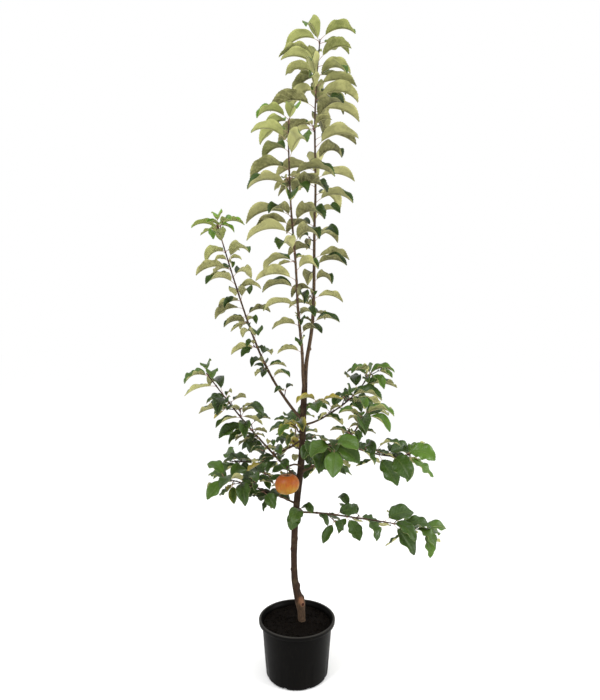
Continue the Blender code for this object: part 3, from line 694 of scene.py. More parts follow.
def growSpurlets(name, route, space):
    rule = spurlets
    rng = random.Random(rule["seed"] + shoots[name].seed)
    length = routeLength(route)
    grown = []
    twigs = []
    for _ in range(shoots[name].spurs):
        distance = length * rng.uniform(*rule["along"])
        place, along = routePoint(route, distance)
        turn = rng.uniform(0, 360)
        direction = leavingDirection(along, turn, rng.uniform(*rule["angle"]))
        direction = (direction + raised(rule["lift"])).normalized()
        end = place.xyz + direction * rng.uniform(*rule["length"])
        rosette = []
        for petal in range(rng.randint(*rule["leaves"])):
            outward = leavingDirection(direction, turn + petal * leafRule["turn"], leafRule["angle"])
            size = rng.uniform(*rule["leafLength"])
            root = end - direction * rule["leafSpacing"] * petal
            droop = shoots[name].droop + rng.uniform(*rule["droopJitter"])
            rosette += placeLeaf(space, name, distance / length, root, outward, size, plainWidth(size),
                                 droop, rng.uniform(*rule["rollJitter"]))
        if rosette:
            twigs.append((place.xyz, end))
            grown += rosette
    return grown, twigs


# Bark: a grid rolled round each limb, one row of it for each station along the limb

bark = {
    "sides": {"trunk": 26, "leader_back": 16, "leader_front": 16, "left_high": 14},
    "boughSides": 12, "spacing": 0.0036, "weld": 0.000002, "buried": 0.01,
    "seeds": (1, 7, 3),               # of the trunk, of the first bough, and the step to the next
    # the depths are shares of the radius
    "lumpDepth": 0.1, "lumpLength": 14,
    "furrowDepth": 0.055, "furrowTurns": 2.6, "furrowLength": 30, "furrowNoise": (0.9, 2.1, 4),
    "grainDepth": 0.02, "grainTurns": 6, "grainLength": 260,
    # how much a bough swells where it leaves its parent, and under each leaf
    "collar": 0.55, "collarReach": 0.009, "nodeSwelling": 0.16, "nodeReach": 0.0035,
    "knotReach": 2.6,                 # in spreads
    "knots": (                        # height, heading, spread, rise and dimple
        (0.273, 0, 0.0062, 0.0042, 0.0016), (0.322, 175, 0.0048, 0.0026, 0.0008),
        (0.386, 200, 0.0046, 0.0024, 0.0008), (0.236, 5, 0.005, 0.0026, 0),
        (0.219, -62, 0.0064, 0.0018, 0.0022), (0.345, -60, 0.004, 0.0014, 0.001),
        (0.418, -10, 0.0042, 0.0018, 0.0006), (0.462, 185, 0.0042, 0.002, 0.0008),
        (0.66, 170, 0.005, 0.0022, 0.001), (0.742, 10, 0.005, 0.0024, 0.001),
        (0.835, 170, 0.0046, 0.002, 0.0008), (1.018, -12, 0.0038, 0.0048, 0.001),
    ),
    # the bark ages between these radii of the limb, and is greyer below the graft
    "oldRadius": (0.0062, 0.0098), "youngRadius": (0.0034, 0.0018), "stockTop": (0.236, 0.218),
    "trunkTones": (tone(17, 9, 4), tone(54, 35, 20)), "blotchTone": tone(72, 62, 42),
    "leaderTones": (tone(42, 29, 21), tone(88, 70, 50)),
    "shootTones": (tone(38, 26, 24), tone(68, 50, 42)), "lenticelTone": tone(138, 120, 96),
    "stockTones": (tone(46, 34, 25), tone(100, 80, 62)),
    # the graft's tan patch, and its scar with a pale lip
    "patch": (0.014, -0.014, 0.229), "patchTones": (tone(96, 60, 40), tone(142, 102, 76)),
    "scar": (0.0178, -0.0135, 0.219), "scarTones": (tone(120, 84, 60), tone(48, 20, 13)),
    "roughness": (0.62, 0.86), "relief": 0.0007,
}
Station = namedtuple("Station", "place side upward radius distance")


def stationsAlong(route, spacing):
    # frames along a limb that turn as little as they can
    fine = smoothRoute(route, spacing)
    stations = []
    side = None
    distance = 0
    for index, point in enumerate(fine):
        before, after = fine[max(0, index - 1)], fine[min(len(fine) - 1, index + 1)]
        along = (after.xyz - before.xyz).normalized()
        side = along.orthogonal() if side is None else side
        side = (side - along * side.dot(along)).normalized()
        if index:
            distance += (point.xyz - fine[index - 1].xyz).length
        stations.append(Station(point.xyz, side, along.cross(side), point.w, distance))
    return stations


def tubeAlong(places, radii, spacing):
    return stationsAlong([Vector((*place, radius)) for place, radius in zip(places, radii)], spacing)


def rollTube(bm, stations, sides, relief=None):
    # closed at both ends, where the outermost stations draw in to a point
    rows = [stations[0]._replace(radius=0), *stations, stations[-1]._replace(radius=0)]
    space = layerOf(bm.verts.layers.float_vector, "barkSpace")
    girth = layerOf(bm.verts.layers.float, "girth")
    for vert, column, row in gridPoints(bm, sides, len(rows) - 1):
        station = rows[row]
        turn = 2 * pi * column / sides
        radial = station.side * cos(turn) + station.upward * sin(turn)
        radius = station.radius
        if relief and radius:
            radius += relief(station, turn, station.place + radial * radius)
        vert[space] = (cos(turn) * station.radius, sin(turn) * station.radius, station.distance)
        vert[girth] = station.radius
        vert.co = station.place + radial * radius


def barkRelief(seed, knots):
    turns, length = bark["furrowTurns"], bark["furrowLength"]
    fineTurns, fineLength = bark["grainTurns"], bark["grainLength"]

    def relief(station, turn, surface):
        radius, distance = station.radius, station.distance
        lobes = Vector((cos(turn), sin(turn), distance * bark["lumpLength"] + seed))
        lift = noise.noise(lobes) * bark["lumpDepth"] * radius
        streak = Vector((cos(turn) * turns, sin(turn) * turns, distance * length + seed))
        lift -= abs(noise.fractal(streak, *bark["furrowNoise"])) * bark["furrowDepth"] * radius
        fine = Vector((cos(turn) * fineTurns, sin(turn) * fineTurns,
                       distance * fineLength + seed))
        lift += noise.noise(fine) * bark["grainDepth"] * radius
        for centre, spread, rise, dimple in knots:
            away = (surface - centre).length / spread
            if away < bark["knotReach"]:
                lift += rise * exp(-away * away) - dimple * exp(-(away * bark["knotReach"]) ** 2)
        return lift
    return relief


def knotPlaces(route):
    places = []
    for height, heading, spread, rise, dimple in bark["knots"]:
        if route[0].z < height < route[-1].z:
            point = routePoint(route, distanceAtHeight(route, height))[0]
            places.append((point.xyz + levelDirection(heading) * point.w, spread, rise, dimple))
    return places


def swollen(stations, nodes):
    # a collar at the limb's root and a slight swelling under each leaf
    dressed = []
    for station in stations:
        radius = station.radius * (1 + bark["collar"] * exp(-station.distance / bark["collarReach"]))
        near = min((abs(station.distance - node) for node in nodes), default=1)
        radius *= 1 + bark["nodeSwelling"] * exp(-(near / bark["nodeReach"]) ** 2)
        dressed.append(station._replace(radius=radius))
    return dressed


def makeBark(routes, leafNodes, material):
    bm = bmesh.new()
    trunkSeed, boughSeed, seedStep = bark["seeds"]
    below = routes["trunk"][0].copy()
    below.z -= bark["buried"]
    mainRoute = [below, *routes["trunk"], *routes["leader_back"][1:]]
    trunk = stationsAlong(mainRoute, bark["spacing"])
    rollTube(bm, trunk, bark["sides"]["trunk"], barkRelief(trunkSeed, knotPlaces(mainRoute)))
    for index, name in enumerate(shoots):
        if name == "leader_back":      # it is the trunk's own end
            continue
        stations = swollen(stationsAlong(routes[name], bark["spacing"]), leafNodes[name])
        sides = bark["sides"].get(name, bark["boughSides"])
        rollTube(bm, stations, sides, barkRelief(boughSeed + index * seedStep, []))
    neaten(bm, bark["weld"])
    nodes = ["trunk"] + ["bough_" + name for name, shoot in shoots.items() if shoot.bare]
    settle(newPiece("bark", bm), "bark", nodes, material)


def barkLook():
    look = Look("bark", {"Specular IOR Level": 0.18})
    place = look.place()
    height = look.split(place)[2]
    bySpace = look.attribute("barkSpace")
    girth = look.add("ShaderNodeAttribute", {"attribute_name": "girth"}, output="Fac")
    streaks = look.grain(look.stretch(bySpace, (1, 1, 0.18)), 620, 6, 0.65)
    blotches = look.grain(place, 55, 5, 0.6)
    flecks = look.cells(look.stretch(bySpace, (1, 1, 1.6)), 260)
    old = girth.ramp(*bark["oldRadius"])
    young = girth.ramp(*bark["youngRadius"])
    trunkTone = look.mix(streaks.ramp(0.36, 0.62), *bark["trunkTones"])
    trunkTone = look.mix(blotches.ramp(0.52, 0.7) * 0.5, trunkTone, bark["blotchTone"])
    leaderTone = look.mix(streaks.ramp(0.38, 0.62), *bark["leaderTones"])
    shootTone = look.mix(streaks.ramp(0.35, 0.65), *bark["shootTones"])
    lenticel = flecks.ramp(0.16, 0.08) * (1 - old) * 0.55
    stockTone = look.mix(streaks.ramp(0.3, 0.7), *bark["stockTones"])
    patchTone = look.mix(streaks.ramp(0.3, 0.7), *bark["patchTones"])
    stock = (height + blotches * 0.012).ramp(*bark["stockTop"])
    patch = look.farFrom(place, bark["patch"]) + blotches * 0.008
    scar = look.farFrom(place, bark["scar"]) + blotches * 0.003
    colour = look.layers(leaderTone, (old, trunkTone), (young, shootTone),
                         (lenticel, bark["lenticelTone"]), (stock * 0.75, stockTone),
                         (patch.ramp(0.021, 0.008) * 0.7, patchTone),
                         (scar.ramp(0.0092, 0.0072), bark["scarTones"][0]),
                         (scar.ramp(0.0076, 0.0058), bark["scarTones"][1]))
    return look.finish(colour, streaks, streaks + blotches * 0.5 + lenticel * 0.5, bark)


# Leaves

leafSheet = {
    "rows": 36, "columns": 8, "thickness": 0.00042, "weld": 0.000005,
    "tooth": 0.016, "toothLean": 0.5, "toothEdge": 8,
    "foldJitter": 10, "rootFold": 1.3, "cup": 0.75, "wave": 30, "waves": (1.4, 3.4), "twist": 18,
    "waveShift": 1.1, "tipPinch": 0.15, "pinchFrom": 0.7, "quilt": 0.012,
    "veins": 8, "veinSlant": 2.2,
    "freshFrom": 0.72, "freshEase": 1.4, "lightJitter": 0.5, "yellowing": (0.4, 1),
    "shrink": 0.96,                   # each step of a leaf that would pass the solids' box
    "pieces": {
        "leavesUpper": ("leader_back", "leader_front"),
        "leavesLeft": ("left_high", "left_middle", "left_low", "left_back"),
        "leavesRight": ("right_high", "right_middle", "right_side", "right_low"),
        "leavesMiddle": ("front", "back", "back_left", "back_right",
                         "spur_low", "spur_left", "spur_right", "spur_back"),
    },
}
leafSides = {
    "leafTop": {
        "finish": {"Specular IOR Level": 0.28}, "roughness": (0.26, 0.42), "relief": 0.0006,
        "deep": tone(12, 23, 4), "light": tone(46, 70, 17), "fresh": tone(104, 144, 36),
        "yellow": tone(138, 124, 36), "vein": tone(84, 102, 44), "veinShow": 0.3, "veinDepth": 0.7,
    },
    "leafUnder": {
        "finish": {"Specular IOR Level": 0.1, "Sheen Weight": 0.1},
        "roughness": (0.67, 0.83), "relief": 0.0006,
        "deep": tone(50, 48, 22), "light": tone(170, 168, 112), "fresh": tone(150, 162, 84),
        "yellow": tone(170, 156, 76), "vein": tone(166, 162, 114), "veinShow": 0.45, "veinDepth": -0.8,
    },
}


def bladeSection(fold, wave):
    # one side of a row of the blade, from the midrib out, in half widths
    steps = leafSheet["columns"] // 2
    across = lift = 0
    section = [(0, 0)]
    for step in range(steps):
        out = (step + 0.5) / steps
        angle = radians(fold * (leafSheet["rootFold"] - leafSheet["cup"] * out) + wave * out * out)
        across += cos(angle) / steps
        lift += sin(angle) / steps
        section.append((across, lift))
    return section


def bladePoints(leaf, fold, twist, waves, phase):
    # rows of points from the leaf's base to its tip, each from one margin to the other
    sheet = leafSheet
    half = sheet["columns"] // 2
    points = []
    for row in range(sheet["rows"] + 1):
        along = row / sheet["rows"]
        share = leafRule["stalk"] + (1 - leafRule["stalk"]) * along
        place, side, upward = leafFrame(leaf, share, twist * along)
        ahead = side.cross(upward)
        pinch = sheet["tipPinch"] * pastShare(along, sheet["pinchFrom"]) ** 2
        width = bladeHalf(leaf, share) * (1 - pinch)
        line = []
        for hand in (-1, 1):
            ripple = sin(2 * pi * waves * along + phase + hand * sheet["waveShift"])
            ripple *= min(1, 3 * along)
            for step, (across, lift) in enumerate(bladeSection(fold, sheet["wave"] * ripple)):
                edge = step / half
                margin = edge ** sheet["toothEdge"]
                tooth = (sheet["tooth"] if row % 2 else -sheet["tooth"] / 2) * margin
                crossed = along * sheet["veins"] - edge * sheet["veinSlant"] + 0.25 * hand
                vein = cos(2 * pi * crossed)
                rise = lift * (1 + tooth) - sheet["quilt"] * vein * edge * (1 - edge) * 4
                lean = ahead * sheet["toothLean"] * leaf.length / sheet["rows"] * margin * (row % 2)
                reach = side * hand * width * across * (1 + tooth)
                line.append(place + reach + upward * width * rise + lean)
        points.append(line[half:0:-1] + line[half + 1:])
    return points


def insideBox(points):
    low, high = cadBox
    return all(low[axis] < point[axis] < high[axis]
               for line in points for point in line for axis in range(3))


def layBlade(bm, grown):
    sheet = leafSheet
    toneLayer = layerOf(bm.verts.layers.float_color, "leafTone")
    layerOf(bm.loops.layers.uv, "leafMap")
    spray = shoots[grown.spray]
    leaf = grown.leaf
    rng = random.Random(round(leaf.heading * 1000) + round(leaf.length * 1e6))
    phase = rng.uniform(0, 2 * pi)
    waves = rng.uniform(*sheet["waves"])
    fold = spray.fold + rng.uniform(-1, 1) * sheet["foldJitter"]
    twist = rng.uniform(-1, 1) * sheet["twist"]
    tip = pastShare(grown.share, sheet["freshFrom"])
    light = spray.light + rng.uniform(-sheet["lightJitter"], sheet["lightJitter"])
    yellow = 1 if rng.random() < spray.yellow else 0
    colour = (spray.fresh * tip ** sheet["freshEase"], min(1, max(0, light)),
              yellow * rng.uniform(*sheet["yellowing"]), 1)
    points = bladePoints(leaf, fold, twist, waves, phase)
    while not insideBox(points):
        leaf = leaf._replace(length=leaf.length * sheet["shrink"], width=leaf.width * sheet["shrink"])
        points = bladePoints(leaf, fold, twist, waves, phase)
    for vert, column, row in gridPoints(bm, sheet["columns"], sheet["rows"]):
        vert.co = points[row][-1 - column]
        vert[toneLayer] = colour


stalk = {
    "stations": 14, "sides": 6, "reach": 0.92, "radius": 0.00078, "thinning": 0.8,
    "footSwelling": 0.0006, "footReach": 0.003, "below": 0.0001, "sink": 0.9, "ease": 12,
    "tones": (tone(150, 104, 92), tone(176, 172, 122)), "roughness": (0.45, 0.62), "relief": 0.0002,
}
bud = {
    "length": 0.0042, "lift": 0.0016, "lean": 0.5, "sides": 6,
    "profile": ((0, 0.0011), (0.3, 0.0014), (0.6, 0.0011), (0.85, 0.0006), (1, 0.0002)),
}
twigForm = {"radii": (0.0017, 0.0014, 0.0013), "spacing": 0.002, "sides": 8, "seed": 90}


def layStalk(bm, grown):
    # the stalk, which goes on beneath the blade as its midrib
    leaf = grown.leaf
    stations = []
    for index in range(stalk["stations"] + 1):
        share = stalk["reach"] * index / stalk["stations"]
        place, side, upward = leafFrame(leaf, share)
        onBlade = pastShare(share, leafRule["stalk"])
        swelling = stalk["footSwelling"] * exp(-share * leaf.length / stalk["footReach"])
        radius = stalk["radius"] * (1 - stalk["thinning"] * onBlade) + swelling
        drop = (stalk["below"] + radius * stalk["sink"]) * min(1, onBlade * stalk["ease"])
        stations.append(Station(place - upward * drop, side, upward, radius, share * leaf.length))
    rollTube(bm, stations, stalk["sides"])


def makeLeaves(grown):
    sheet = leafSheet
    bothSides = [leafLook(name, rule) for name, rule in leafSides.items()]
    for name, sprays in sheet["pieces"].items():
        leaves = [one for one in grown if one.spray in sprays]
        piece = workedPiece(name, leaves, layBlade, sheet["weld"], outward=False)
        shell = piece.modifiers.new("thickness", "SOLIDIFY")
        shell.thickness = sheet["thickness"]
        shell.offset = -1
        shell.material_offset = 1
        shell.material_offset_rim = 1
        settle(piece, "leaf", ["leaves_" + spray for spray in sprays], *bothSides)


def layBud(bm, grown):
    # a small pointed bud in the angle above each stalk
    place, side, upward = leafFrame(grown.leaf, 0)
    axis = (side.cross(upward) * bud["lean"] + upward).normalized()
    root = place + upward * bud["lift"]
    across = axis.cross(side)
    stations = []
    for share, radius in bud["profile"]:
        distance = bud["length"] * share
        stations.append(Station(root + axis * distance, side, across, radius, distance))
    rollTube(bm, stations, bud["sides"])


def layTwig(bm, twig):
    start, end = twig
    stations = tubeAlong((start, start.lerp(end, 0.5), end), twigForm["radii"], twigForm["spacing"])
    rollTube(bm, stations, twigForm["sides"], barkRelief(twigForm["seed"], []))


def makeStalks(grown, twigs, barkMaterial):
    settle(workedPiece("leafStalks", grown, layStalk), "leaf", [], stalkLook())
    settle(workedPiece("buds", grown, layBud), "bark", [], barkMaterial)
    settle(workedPiece("twigs", twigs, layTwig), "bark", [], barkMaterial)


def leafLook(name, rule):
    look = Look(name, rule["finish"])
    place = look.place()
    across, along, _ = look.split(look.add("ShaderNodeUVMap", {"uv_map": "leafMap"}))
    youth, lightness, age = look.split(look.attribute("leafTone"))
    side = across.maths("GREATER_THAN", 0.5)
    edge = abs(across - 0.5) * 2
    wander = look.grain(place, 90, 2) * 0.25
    line = along * leafSheet["veins"] - edge * leafSheet["veinSlant"] + side * 0.5 + wander
    lateral = abs(line.maths("FRACT") - 0.5).ramp(0.1, 0) * edge.ramp(1, 0.55)
    midrib = edge.ramp(0.1, 0.03)
    ribs = lateral.maths("MAXIMUM", midrib)
    net = look.cells(place, 520, "DISTANCE_TO_EDGE").ramp(0.1, 0.02)
    mottle = look.grain(place, 42, 5, 0.6)
    patches = look.grain(place, 130, 4, 0.65)
    # the edge term paints the blade lighter towards its margins and darker by the midrib fold: painted
    # highlight and shade, on top of the leaf's own tone at random
    shade = lightness * 0.55 + mottle * 0.7 + patches * 0.5 - 0.25 + edge * 0.12
    ageing = (age * (0.55 + mottle) + (edge - 0.7) * age * 0.6).ramp(0.3, 0.85)
    veins = ribs * rule["veinShow"] + net * rule["veinShow"] * 0.25
    colour = look.layers(rule["deep"], (shade.ramp(0.15, 0.85), rule["light"]), (youth, rule["fresh"]),
                         (ageing, rule["yellow"]), (veins, rule["vein"]))
    depth = rule["veinDepth"]
    height = (lateral * 0.7 + midrib) * depth + net * depth * 0.12 + mottle * 0.2
    return look.finish(colour, mottle, height, rule)


def stalkLook():
    look = Look("leafStalk", {"Specular IOR Level": 0.3})
    run = look.split(look.attribute("barkSpace"))[2]
    grain = look.grain(look.place(), 160, 3)
    colour = look.mix((run + grain * 0.02).ramp(0.012, 0.05), *stalk["tones"])
    return look.finish(colour, grain, grain, stalk)


# Fruit

def makeFruit(routes, barkMaterial):
    profile = []
    for row in range(fruit["rows"] + 1):
        climb = pi * (0.5 - row / fruit["rows"])
        radius = fruit["radius"] * max(0, cos(climb)) ** fruit["fullness"]
        dimple = fruit["dimpleDepth"] * exp(-(radius / (fruit["dimpleWidth"] * fruit["radius"])) ** 2)
        level = sin(climb) - copysign(dimple, sin(climb))
        radius *= 1 - fruit["taper"] * (climb < 0) * sin(climb) ** 2
        profile.append((0 if row in (0, fruit["rows"]) else radius, level * fruit["height"] / 2))
    bm = turned(profile, fruit["steps"])
    for vert in bm.verts:      # faint lobes, strongest at the bottom, and a slight lean
        turn = atan2(vert.co.y, vert.co.x)
        low = 0.5 - vert.co.z / fruit["height"]
        uneven = fruit["unevenness"] * noise.noise(vert.co * fruit["unevenScale"])
        size = 1 + fruit["lobeDepth"] * low * cos(fruit["lobes"] * turn) + uneven
        vert.co.x *= size
        vert.co.y *= size
        vert.co.z += vert.co.x * fruit["lean"]
    bmesh.ops.translate(bm, vec=fruit["centre"], verts=bm.verts)
    settle(newPiece("fruit", bm), "fruit", ["fruit_spur"], fruitLook())
    makeFruitSpur(routes["trunk"], barkMaterial)


def makeFruitSpur(trunkRoute, barkMaterial):
    # a woody spur from the trunk, and the stalk from its end down into the fruit
    centre = Vector(fruit["centre"])
    half = fruit["height"] / 2
    root = routePoint(trunkRoute, distanceAtHeight(trunkRoute, fruit["spurHeight"]))[0].xyz
    top = centre + raised(half + fruit["stalkDrop"])
    middle = root.lerp(top, 0.5) + raised(fruit["spurArch"])
    bend = centre + raised(half) + Vector(fruit["stalkBend"])
    foot = centre + raised(fruit["height"] * fruit["stalkFoot"])
    stalkTop = top - raised(fruit["stalkSink"])
    bm = bmesh.new()
    spur = tubeAlong((root, middle, top), fruit["spurRadii"], fruit["spacing"])
    relief = barkRelief(fruit["spurSeed"], [])
    rollTube(bm, swollen(spur, fruit["spurNodes"]), fruit["spurSides"], relief)
    stem = tubeAlong((stalkTop, bend, foot), fruit["stalkRadii"], fruit["spacing"])
    rollTube(bm, stem, fruit["stalkSides"])
    neaten(bm, bark["weld"])
    settle(newPiece("fruitSpur", bm), "bark", [], barkMaterial)


def fruitLook():
    look = Look("fruitSkin", {"Specular IOR Level": 0.2})
    place = look.stretch(look.place(), (1, 1, 1), tuple(-value for value in fruit["centre"]))
    upright = look.stretch(place, (1, 1, 0.12))
    around = look.add("ShaderNodeVectorMath", {"operation": "NORMALIZE"}, {0: upright})
    streaks = look.grain(around, 7, 6, 0.7)
    fine = look.grain(around, 24, 4, 0.7)
    blotch = look.grain(place, 48, 6, 0.65)
    dots = look.cells(place, 330)
    x, y, z = look.split(place)
    level = z * (2 / fruit["height"])
    side = (x * -0.45 - y * 0.15) * (1 / fruit["radius"])
    across = look.farFrom(look.stretch(place, (1, 1, 0)), (0, 0, 0))
    ground = look.mix((blotch + level * 0.15).ramp(0.34, 0.66), *fruit["groundTones"])
    blush = (level * 0.42 + side * 0.35 + streaks * 1.5 + blotch * 0.6 - 0.72).ramp(-0.1, 0.8)
    pale = (blotch - level * 0.35).ramp(0.62, 0.95)
    russet = (across + blotch * 0.012).ramp(0.026, 0.014) * level.ramp(0.3, 0.7)
    # painted shadow: the stem cavity is darkened in its hollow
    cavityShade = (across + blotch * 0.006).ramp(0.015, 0.008) * level.ramp(0.3, 0.5)
    calyx = (across + blotch * 0.004).ramp(0.0095, 0.0045) * level.ramp(-0.4, -0.7)
    colour = look.layers(ground, (blush * 0.85, fruit["blushTone"]),
                         (fine.ramp(0.5, 0.66) * blush * 0.75, fruit["streakTone"]),
                         (pale * 0.5, fruit["paleTone"]),
                         (dots.ramp(0.16, 0.07) * 0.5, fruit["dotTone"]),
                         (russet * 0.6, fruit["russetTone"]), (cavityShade * 0.9, fruit["cavityShadowTone"]),
                         (calyx, fruit["calyxTone"]))
    return look.finish(colour, blotch, blotch * 0.5 + dots.ramp(0.2, 0.1) * 0.4, fruit)


# Pot and compost

pot = {
    "height": 0.172, "rim": 0.12, "top": 0.11, "base": 0.096, "wall": 0.0025, "floor": 0.0035,
    "corner": 0.009, "lip": 0.011, "lipRound": 0.0025, "steps": 192, "sharpAngle": 48,
    "rings": (0.05, 0.06),            # of points on the floor and on the underside
    # The lip in section, as how far out and how far up from the wall's top or from the rim's edge:
    # the flare inside, the ridge on top with its size, the skirt outside and the hollow under it.
    "flare": ((-0.0028, -0.004), (-0.0021, 0), (0, 0.0035), (0.0022, 0.0072)),
    "ridge": (-0.0052, 0.0088, 0.0022),
    "skirt": ((-0.0003, 0.004), (-0.0006, 0.0007), (-0.0012, 0), (-0.0026, 0.0006), (-0.0032, 0.0054)),
    "hollow": ((0.005, 0.0054), (0.002, 0.002), (0.0003, 0.001), (0, -0.0006)),
    "drains": 8, "drainWidth": 0.014, "drainHeight": 0.007, "drainDepth": 0.02,
    "channelDepth": 0.0008, "channelHalf": 0.0085, "channelFoot": 0.004, "channelTop": 0.074,
    "channelFade": 0.02, "channelEdge": 5,
    "bodyTones": (tone(7, 6, 5), tone(22, 20, 15)), "scratchTone": tone(70, 66, 60),
    # the rim tone and its band are a painted highlight along the top of the lip
    "rimHighlightTone": tone(56, 54, 51), "rimHighlightBand": (0.1695, 0.1722),
    "roughness": (0.34, 0.46), "relief": 0.0004,
}


def wallRadius(height):
    return pot["base"] + (pot["top"] - pot["base"]) * height / (pot["height"] - pot["lip"])


def arc(centreRadius, centreHeight, size, first, last, count):
    points = []
    for index in range(count + 1):
        angle = radians(first + (last - first) * index / count)
        points.append((centreRadius + size * cos(angle), centreHeight + size * sin(angle)))
    return points


def shifted(pairs, radius, height):
    return [(radius + out, height + up) for out, up in pairs]


def potProfile():
    # from the middle of the floor up the inside, over the lip and down to the middle of the underside
    wall = pot["wall"]
    rim = pot["rim"]
    corner = pot["corner"] - wall
    foot = pot["height"] - pot["lip"]
    lipTop = pot["height"] - pot["lipRound"]
    cornerRadius = wallRadius(pot["corner"])
    out, up, size = pot["ridge"]
    points = [(0, pot["floor"]), (pot["rings"][0], pot["floor"])]
    points += arc(cornerRadius - wall - corner, pot["floor"] + corner, corner, -90, 0, 5)
    points += [(wallRadius(height / 100) - wall, height / 100) for height in range(2, 16, 2)]
    points += shifted(pot["flare"], pot["top"], foot)
    points += arc(rim + out, foot + up, size, 165, 90, 4)
    points += arc(rim - pot["lipRound"], lipTop, pot["lipRound"], 90, 0, 5)
    points += shifted(pot["skirt"], rim, foot) + shifted(pot["hollow"], pot["top"], foot)
    points += [(wallRadius(height / 1000), height / 1000) for height in range(156, 12, -6)]
    points += arc(cornerRadius - pot["corner"], pot["corner"], pot["corner"], 0, -90, 7)
    return points + [(pot["rings"][1], 0), (0, 0)]


def channelDepth(radius, x, y, z):
    # a shallow channel in the wall above each drain
    turn = (atan2(y, x) * pot["drains"] / (2 * pi)) % 1 - 0.5
    away = abs(turn) * 2 * pi / pot["drains"] * radius / pot["channelHalf"]
    fade = min(1, max(0, (pot["channelTop"] - z) / pot["channelFade"] + 0.5))
    return pot["channelDepth"] * max(0, min(1, (1.15 - away) * pot["channelEdge"])) * fade


def makePot():
    bm = turned(potProfile(), pot["steps"])
    for vert in bm.verts:
        radius = hypot(vert.co.x, vert.co.y)
        outside = radius > wallRadius(vert.co.z) - 0.001
        if outside and pot["channelFoot"] < vert.co.z < pot["channelTop"] + pot["channelFade"]:
            depth = channelDepth(radius, *vert.co)
            vert.co.x *= 1 - depth / radius
            vert.co.y *= 1 - depth / radius
    shell = newPiece("potShell", bm)
    bm = bmesh.new()
    size = (pot["drainDepth"], pot["drainWidth"], 2 * pot["drainHeight"])
    for index in range(pot["drains"]):
        angle = 2 * pi * (index + 0.5) / pot["drains"]
        made = bmesh.ops.create_cube(bm, size=1)["verts"]
        bmesh.ops.scale(bm, vec=size, verts=made)
        bmesh.ops.rotate(bm, cent=(0, 0, 0), matrix=Matrix.Rotation(angle, 3, "Z"), verts=made)
        bmesh.ops.translate(bm, vec=levelDirection(degrees(angle)) * pot["base"], verts=made)
    drains = newPiece("drains", bm)
    cut = shell.modifiers.new("drains", "BOOLEAN")
    cut.operation = "DIFFERENCE"
    cut.object = drains
    bpy.context.view_layer.update()
    graph = bpy.context.evaluated_depsgraph_get()
    shell.data = bpy.data.meshes.new_from_object(shell.evaluated_get(graph))
    shell.modifiers.clear()
    bpy.data.objects.remove(drains)
    shell.data.shade_smooth()
    shell.data.set_sharp_from_angle(angle=radians(pot["sharpAngle"]))
    settle(shell, "pot", ["pot"], potLook())


def potLook():
    look = Look("potPlastic", {"Specular IOR Level": 0.04})
    place = look.place()
    z = look.split(place)[2]
    haze = look.grain(place, 14, 6, 0.65)
    speckle = look.grain(place, 900, 2)
    scratch = look.grain(look.stretch(place, (1, 1, 0.06)), 420, 3, 0.6)
    dust = (haze * 0.9 + (0.05 - z) * 3).ramp(0.42, 0.85)
    body = look.mix(dust * 0.3, *pot["bodyTones"])
    # painted highlight: the top of the lip is painted lighter
    colour = look.layers(body, (z.ramp(*pot["rimHighlightBand"]) * 0.7, pot["rimHighlightTone"]),
                         (scratch.ramp(0.62, 0.72) * 0.08, pot["scratchTone"]))
    return look.finish(colour, haze, speckle * 0.3 + haze * 0.8 + scratch * 0.25, pot)


compost = {
    "rows": 46, "steps": 144, "inset": 0.00285, "drop": 0.001,
    "clumpDepth": 0.0026, "clumps": 60, "swell": 0.0022, "swells": 16,
    "mound": 0.009, "moundReach": 0.034,
    # rings below the surface: share of the brim's radius, or None at the pot's foot, and height
    "below": ((1, 0.144), (None, 0.013), (0, 0.0045)), "footHeight": 0.02,
    "seed": 6, "spread": 0.965, "sink": 0.35, "lumpy": 0.35, "lumps": 1.7,
    # how many, the smallest and largest size, and the ranges of breadth and thickness
    "crumbs": (420, (0.0012, 0.0036), (0.7, 1.2), (0.5, 0.9)),
    "barkChips": (70, (0.003, 0.0075), (0.12, 0.35), (0.08, 0.2)),
    "soilTones": (tone(6, 4, 3), tone(19, 14, 9)), "chipTones": (tone(13, 9, 6), tone(34, 24, 16)),
    "roughness": (0.85, 1), "relief": 0.002,
}


def soilHeight(x, y):
    place = Vector((x, y, 0))
    lift = noise.fractal(place * compost["clumps"], 0.8, 2.1, 5) * compost["clumpDepth"]
    lift += noise.noise(place * compost["swells"]) * compost["swell"]
    toTrunk = hypot(x - mainAxis[0][0], y - mainAxis[0][1])
    mound = compost["mound"] * exp(-(toTrunk / compost["moundReach"]) ** 2)
    return soilLevel - compost["drop"] + lift + mound


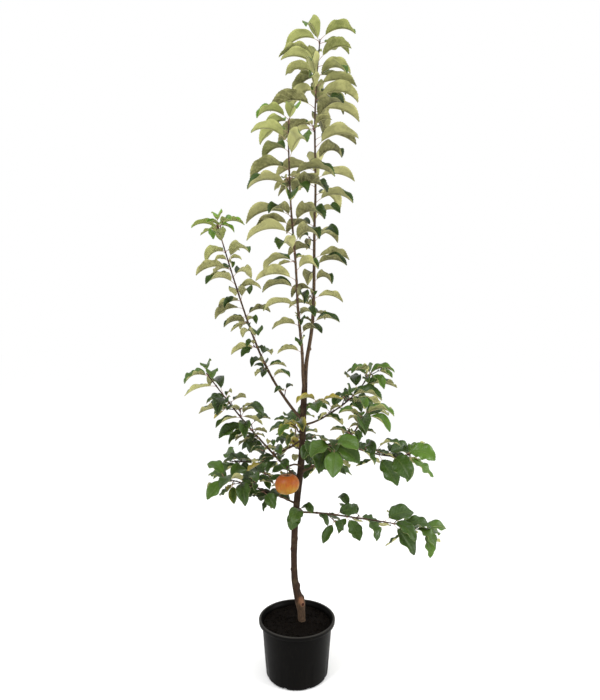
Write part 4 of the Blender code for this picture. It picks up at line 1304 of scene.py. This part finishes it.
def makeCompost():
    # a disc whose last rows go down the wall and close under the compost
    bm = bmesh.new()
    brim = wallRadius(soilLevel) - compost["inset"]
    foot = wallRadius(compost["footHeight"]) - compost["inset"]
    rings = [(brim * row / compost["rows"], None) for row in range(compost["rows"] + 1)]
    rings += [(foot if share is None else brim * share, height) for share, height in compost["below"]]
    for vert, column, row in gridPoints(bm, compost["steps"], len(rings) - 1):
        radius, height = rings[row]
        turn = 2 * pi * column / compost["steps"]
        x, y = cos(turn) * radius, sin(turn) * radius
        vert.co = (x, y, soilHeight(x, y) if height is None else height)
    neaten(bm, 0.000002)
    soil = soilLook("compostSoil", compost["soilTones"])
    settle(newPiece("compostBed", bm), "compost", ["compost"], soil)
    rng = random.Random(compost["seed"])
    chips = soilLook("compostChips", compost["chipTones"])
    for name, material in (("crumbs", soil), ("barkChips", chips)):
        count, sizes, breadth, thickness = compost[name]
        jobs = []
        for index in range(count):
            reach, turn = brim * sqrt(rng.random()) * compost["spread"], rng.uniform(0, 2 * pi)
            size = rng.uniform(*sizes)
            stretch = (size, size * rng.uniform(*breadth), size * rng.uniform(*thickness))
            turns = (rng.uniform(-0.5, 0.5), rng.uniform(0, 6.28))
            jobs.append((index, reach * cos(turn), reach * sin(turn), stretch, turns))
        settle(workedPiece(name, jobs, layCrumb, batch=40, weld=0.0000001), "compost", [], material)


def layCrumb(bm, job):
    index, x, y, stretch, turns = job
    crumb = bmesh.ops.create_icosphere(bm, subdivisions=1, radius=1)["verts"]
    for vert in crumb:
        place = vert.co * compost["lumps"] + Vector((index, 0, 0))
        vert.co *= 1 + compost["lumpy"] * noise.noise(place)
    bmesh.ops.scale(bm, vec=stretch, verts=crumb)
    spin = Matrix.Rotation(turns[1], 3, "Z") @ Matrix.Rotation(turns[0], 3, "X")
    bmesh.ops.rotate(bm, cent=(0, 0, 0), matrix=spin, verts=crumb)
    bmesh.ops.translate(bm, vec=(x, y, soilHeight(x, y) + stretch[2] * compost["sink"]), verts=crumb)


def soilLook(name, tones):
    look = Look(name, {"Specular IOR Level": 0.05})
    place = look.place()
    lumps = look.grain(place, 240, 8, 0.7)
    fibres = look.grain(look.stretch(place, (1, 0.25, 1)), 700, 4, 0.6)
    cells = look.cells(place, 330)
    colour = look.mix((lumps * 0.7 + fibres * 0.4).ramp(0.35, 0.85), *tones)
    return look.finish(colour, lumps, lumps + cells * 0.6, compost)


def main():
    setCamera()
    setStudio()
    routes = allRoutes()
    space = Space(routes)
    grown = []
    twigs = []
    leafNodes = {}
    growth = (("sprays", growSpray), ("single leaves", growExtras), ("side spurs", growSpurlets))
    for kind, grow in growth:
        for name in shoots:
            leaves, sprouts = grow(name, routes[name], space)
            grown += leaves
            twigs += sprouts
            root = routes[name][0].xyz
            leafNodes.setdefault(name, [(one.leaf.root - root).length for one in leaves])
        print("grown with", kind + ":", len(grown), "leaves and", len(twigs), "twigs")
    barkMaterial = barkLook()
    makeBark(routes, leafNodes, barkMaterial)
    makeLeaves(grown)
    makeStalks(grown, twigs, barkMaterial)
    makeFruit(routes, barkMaterial)
    makePot()
    makeCompost()


main()
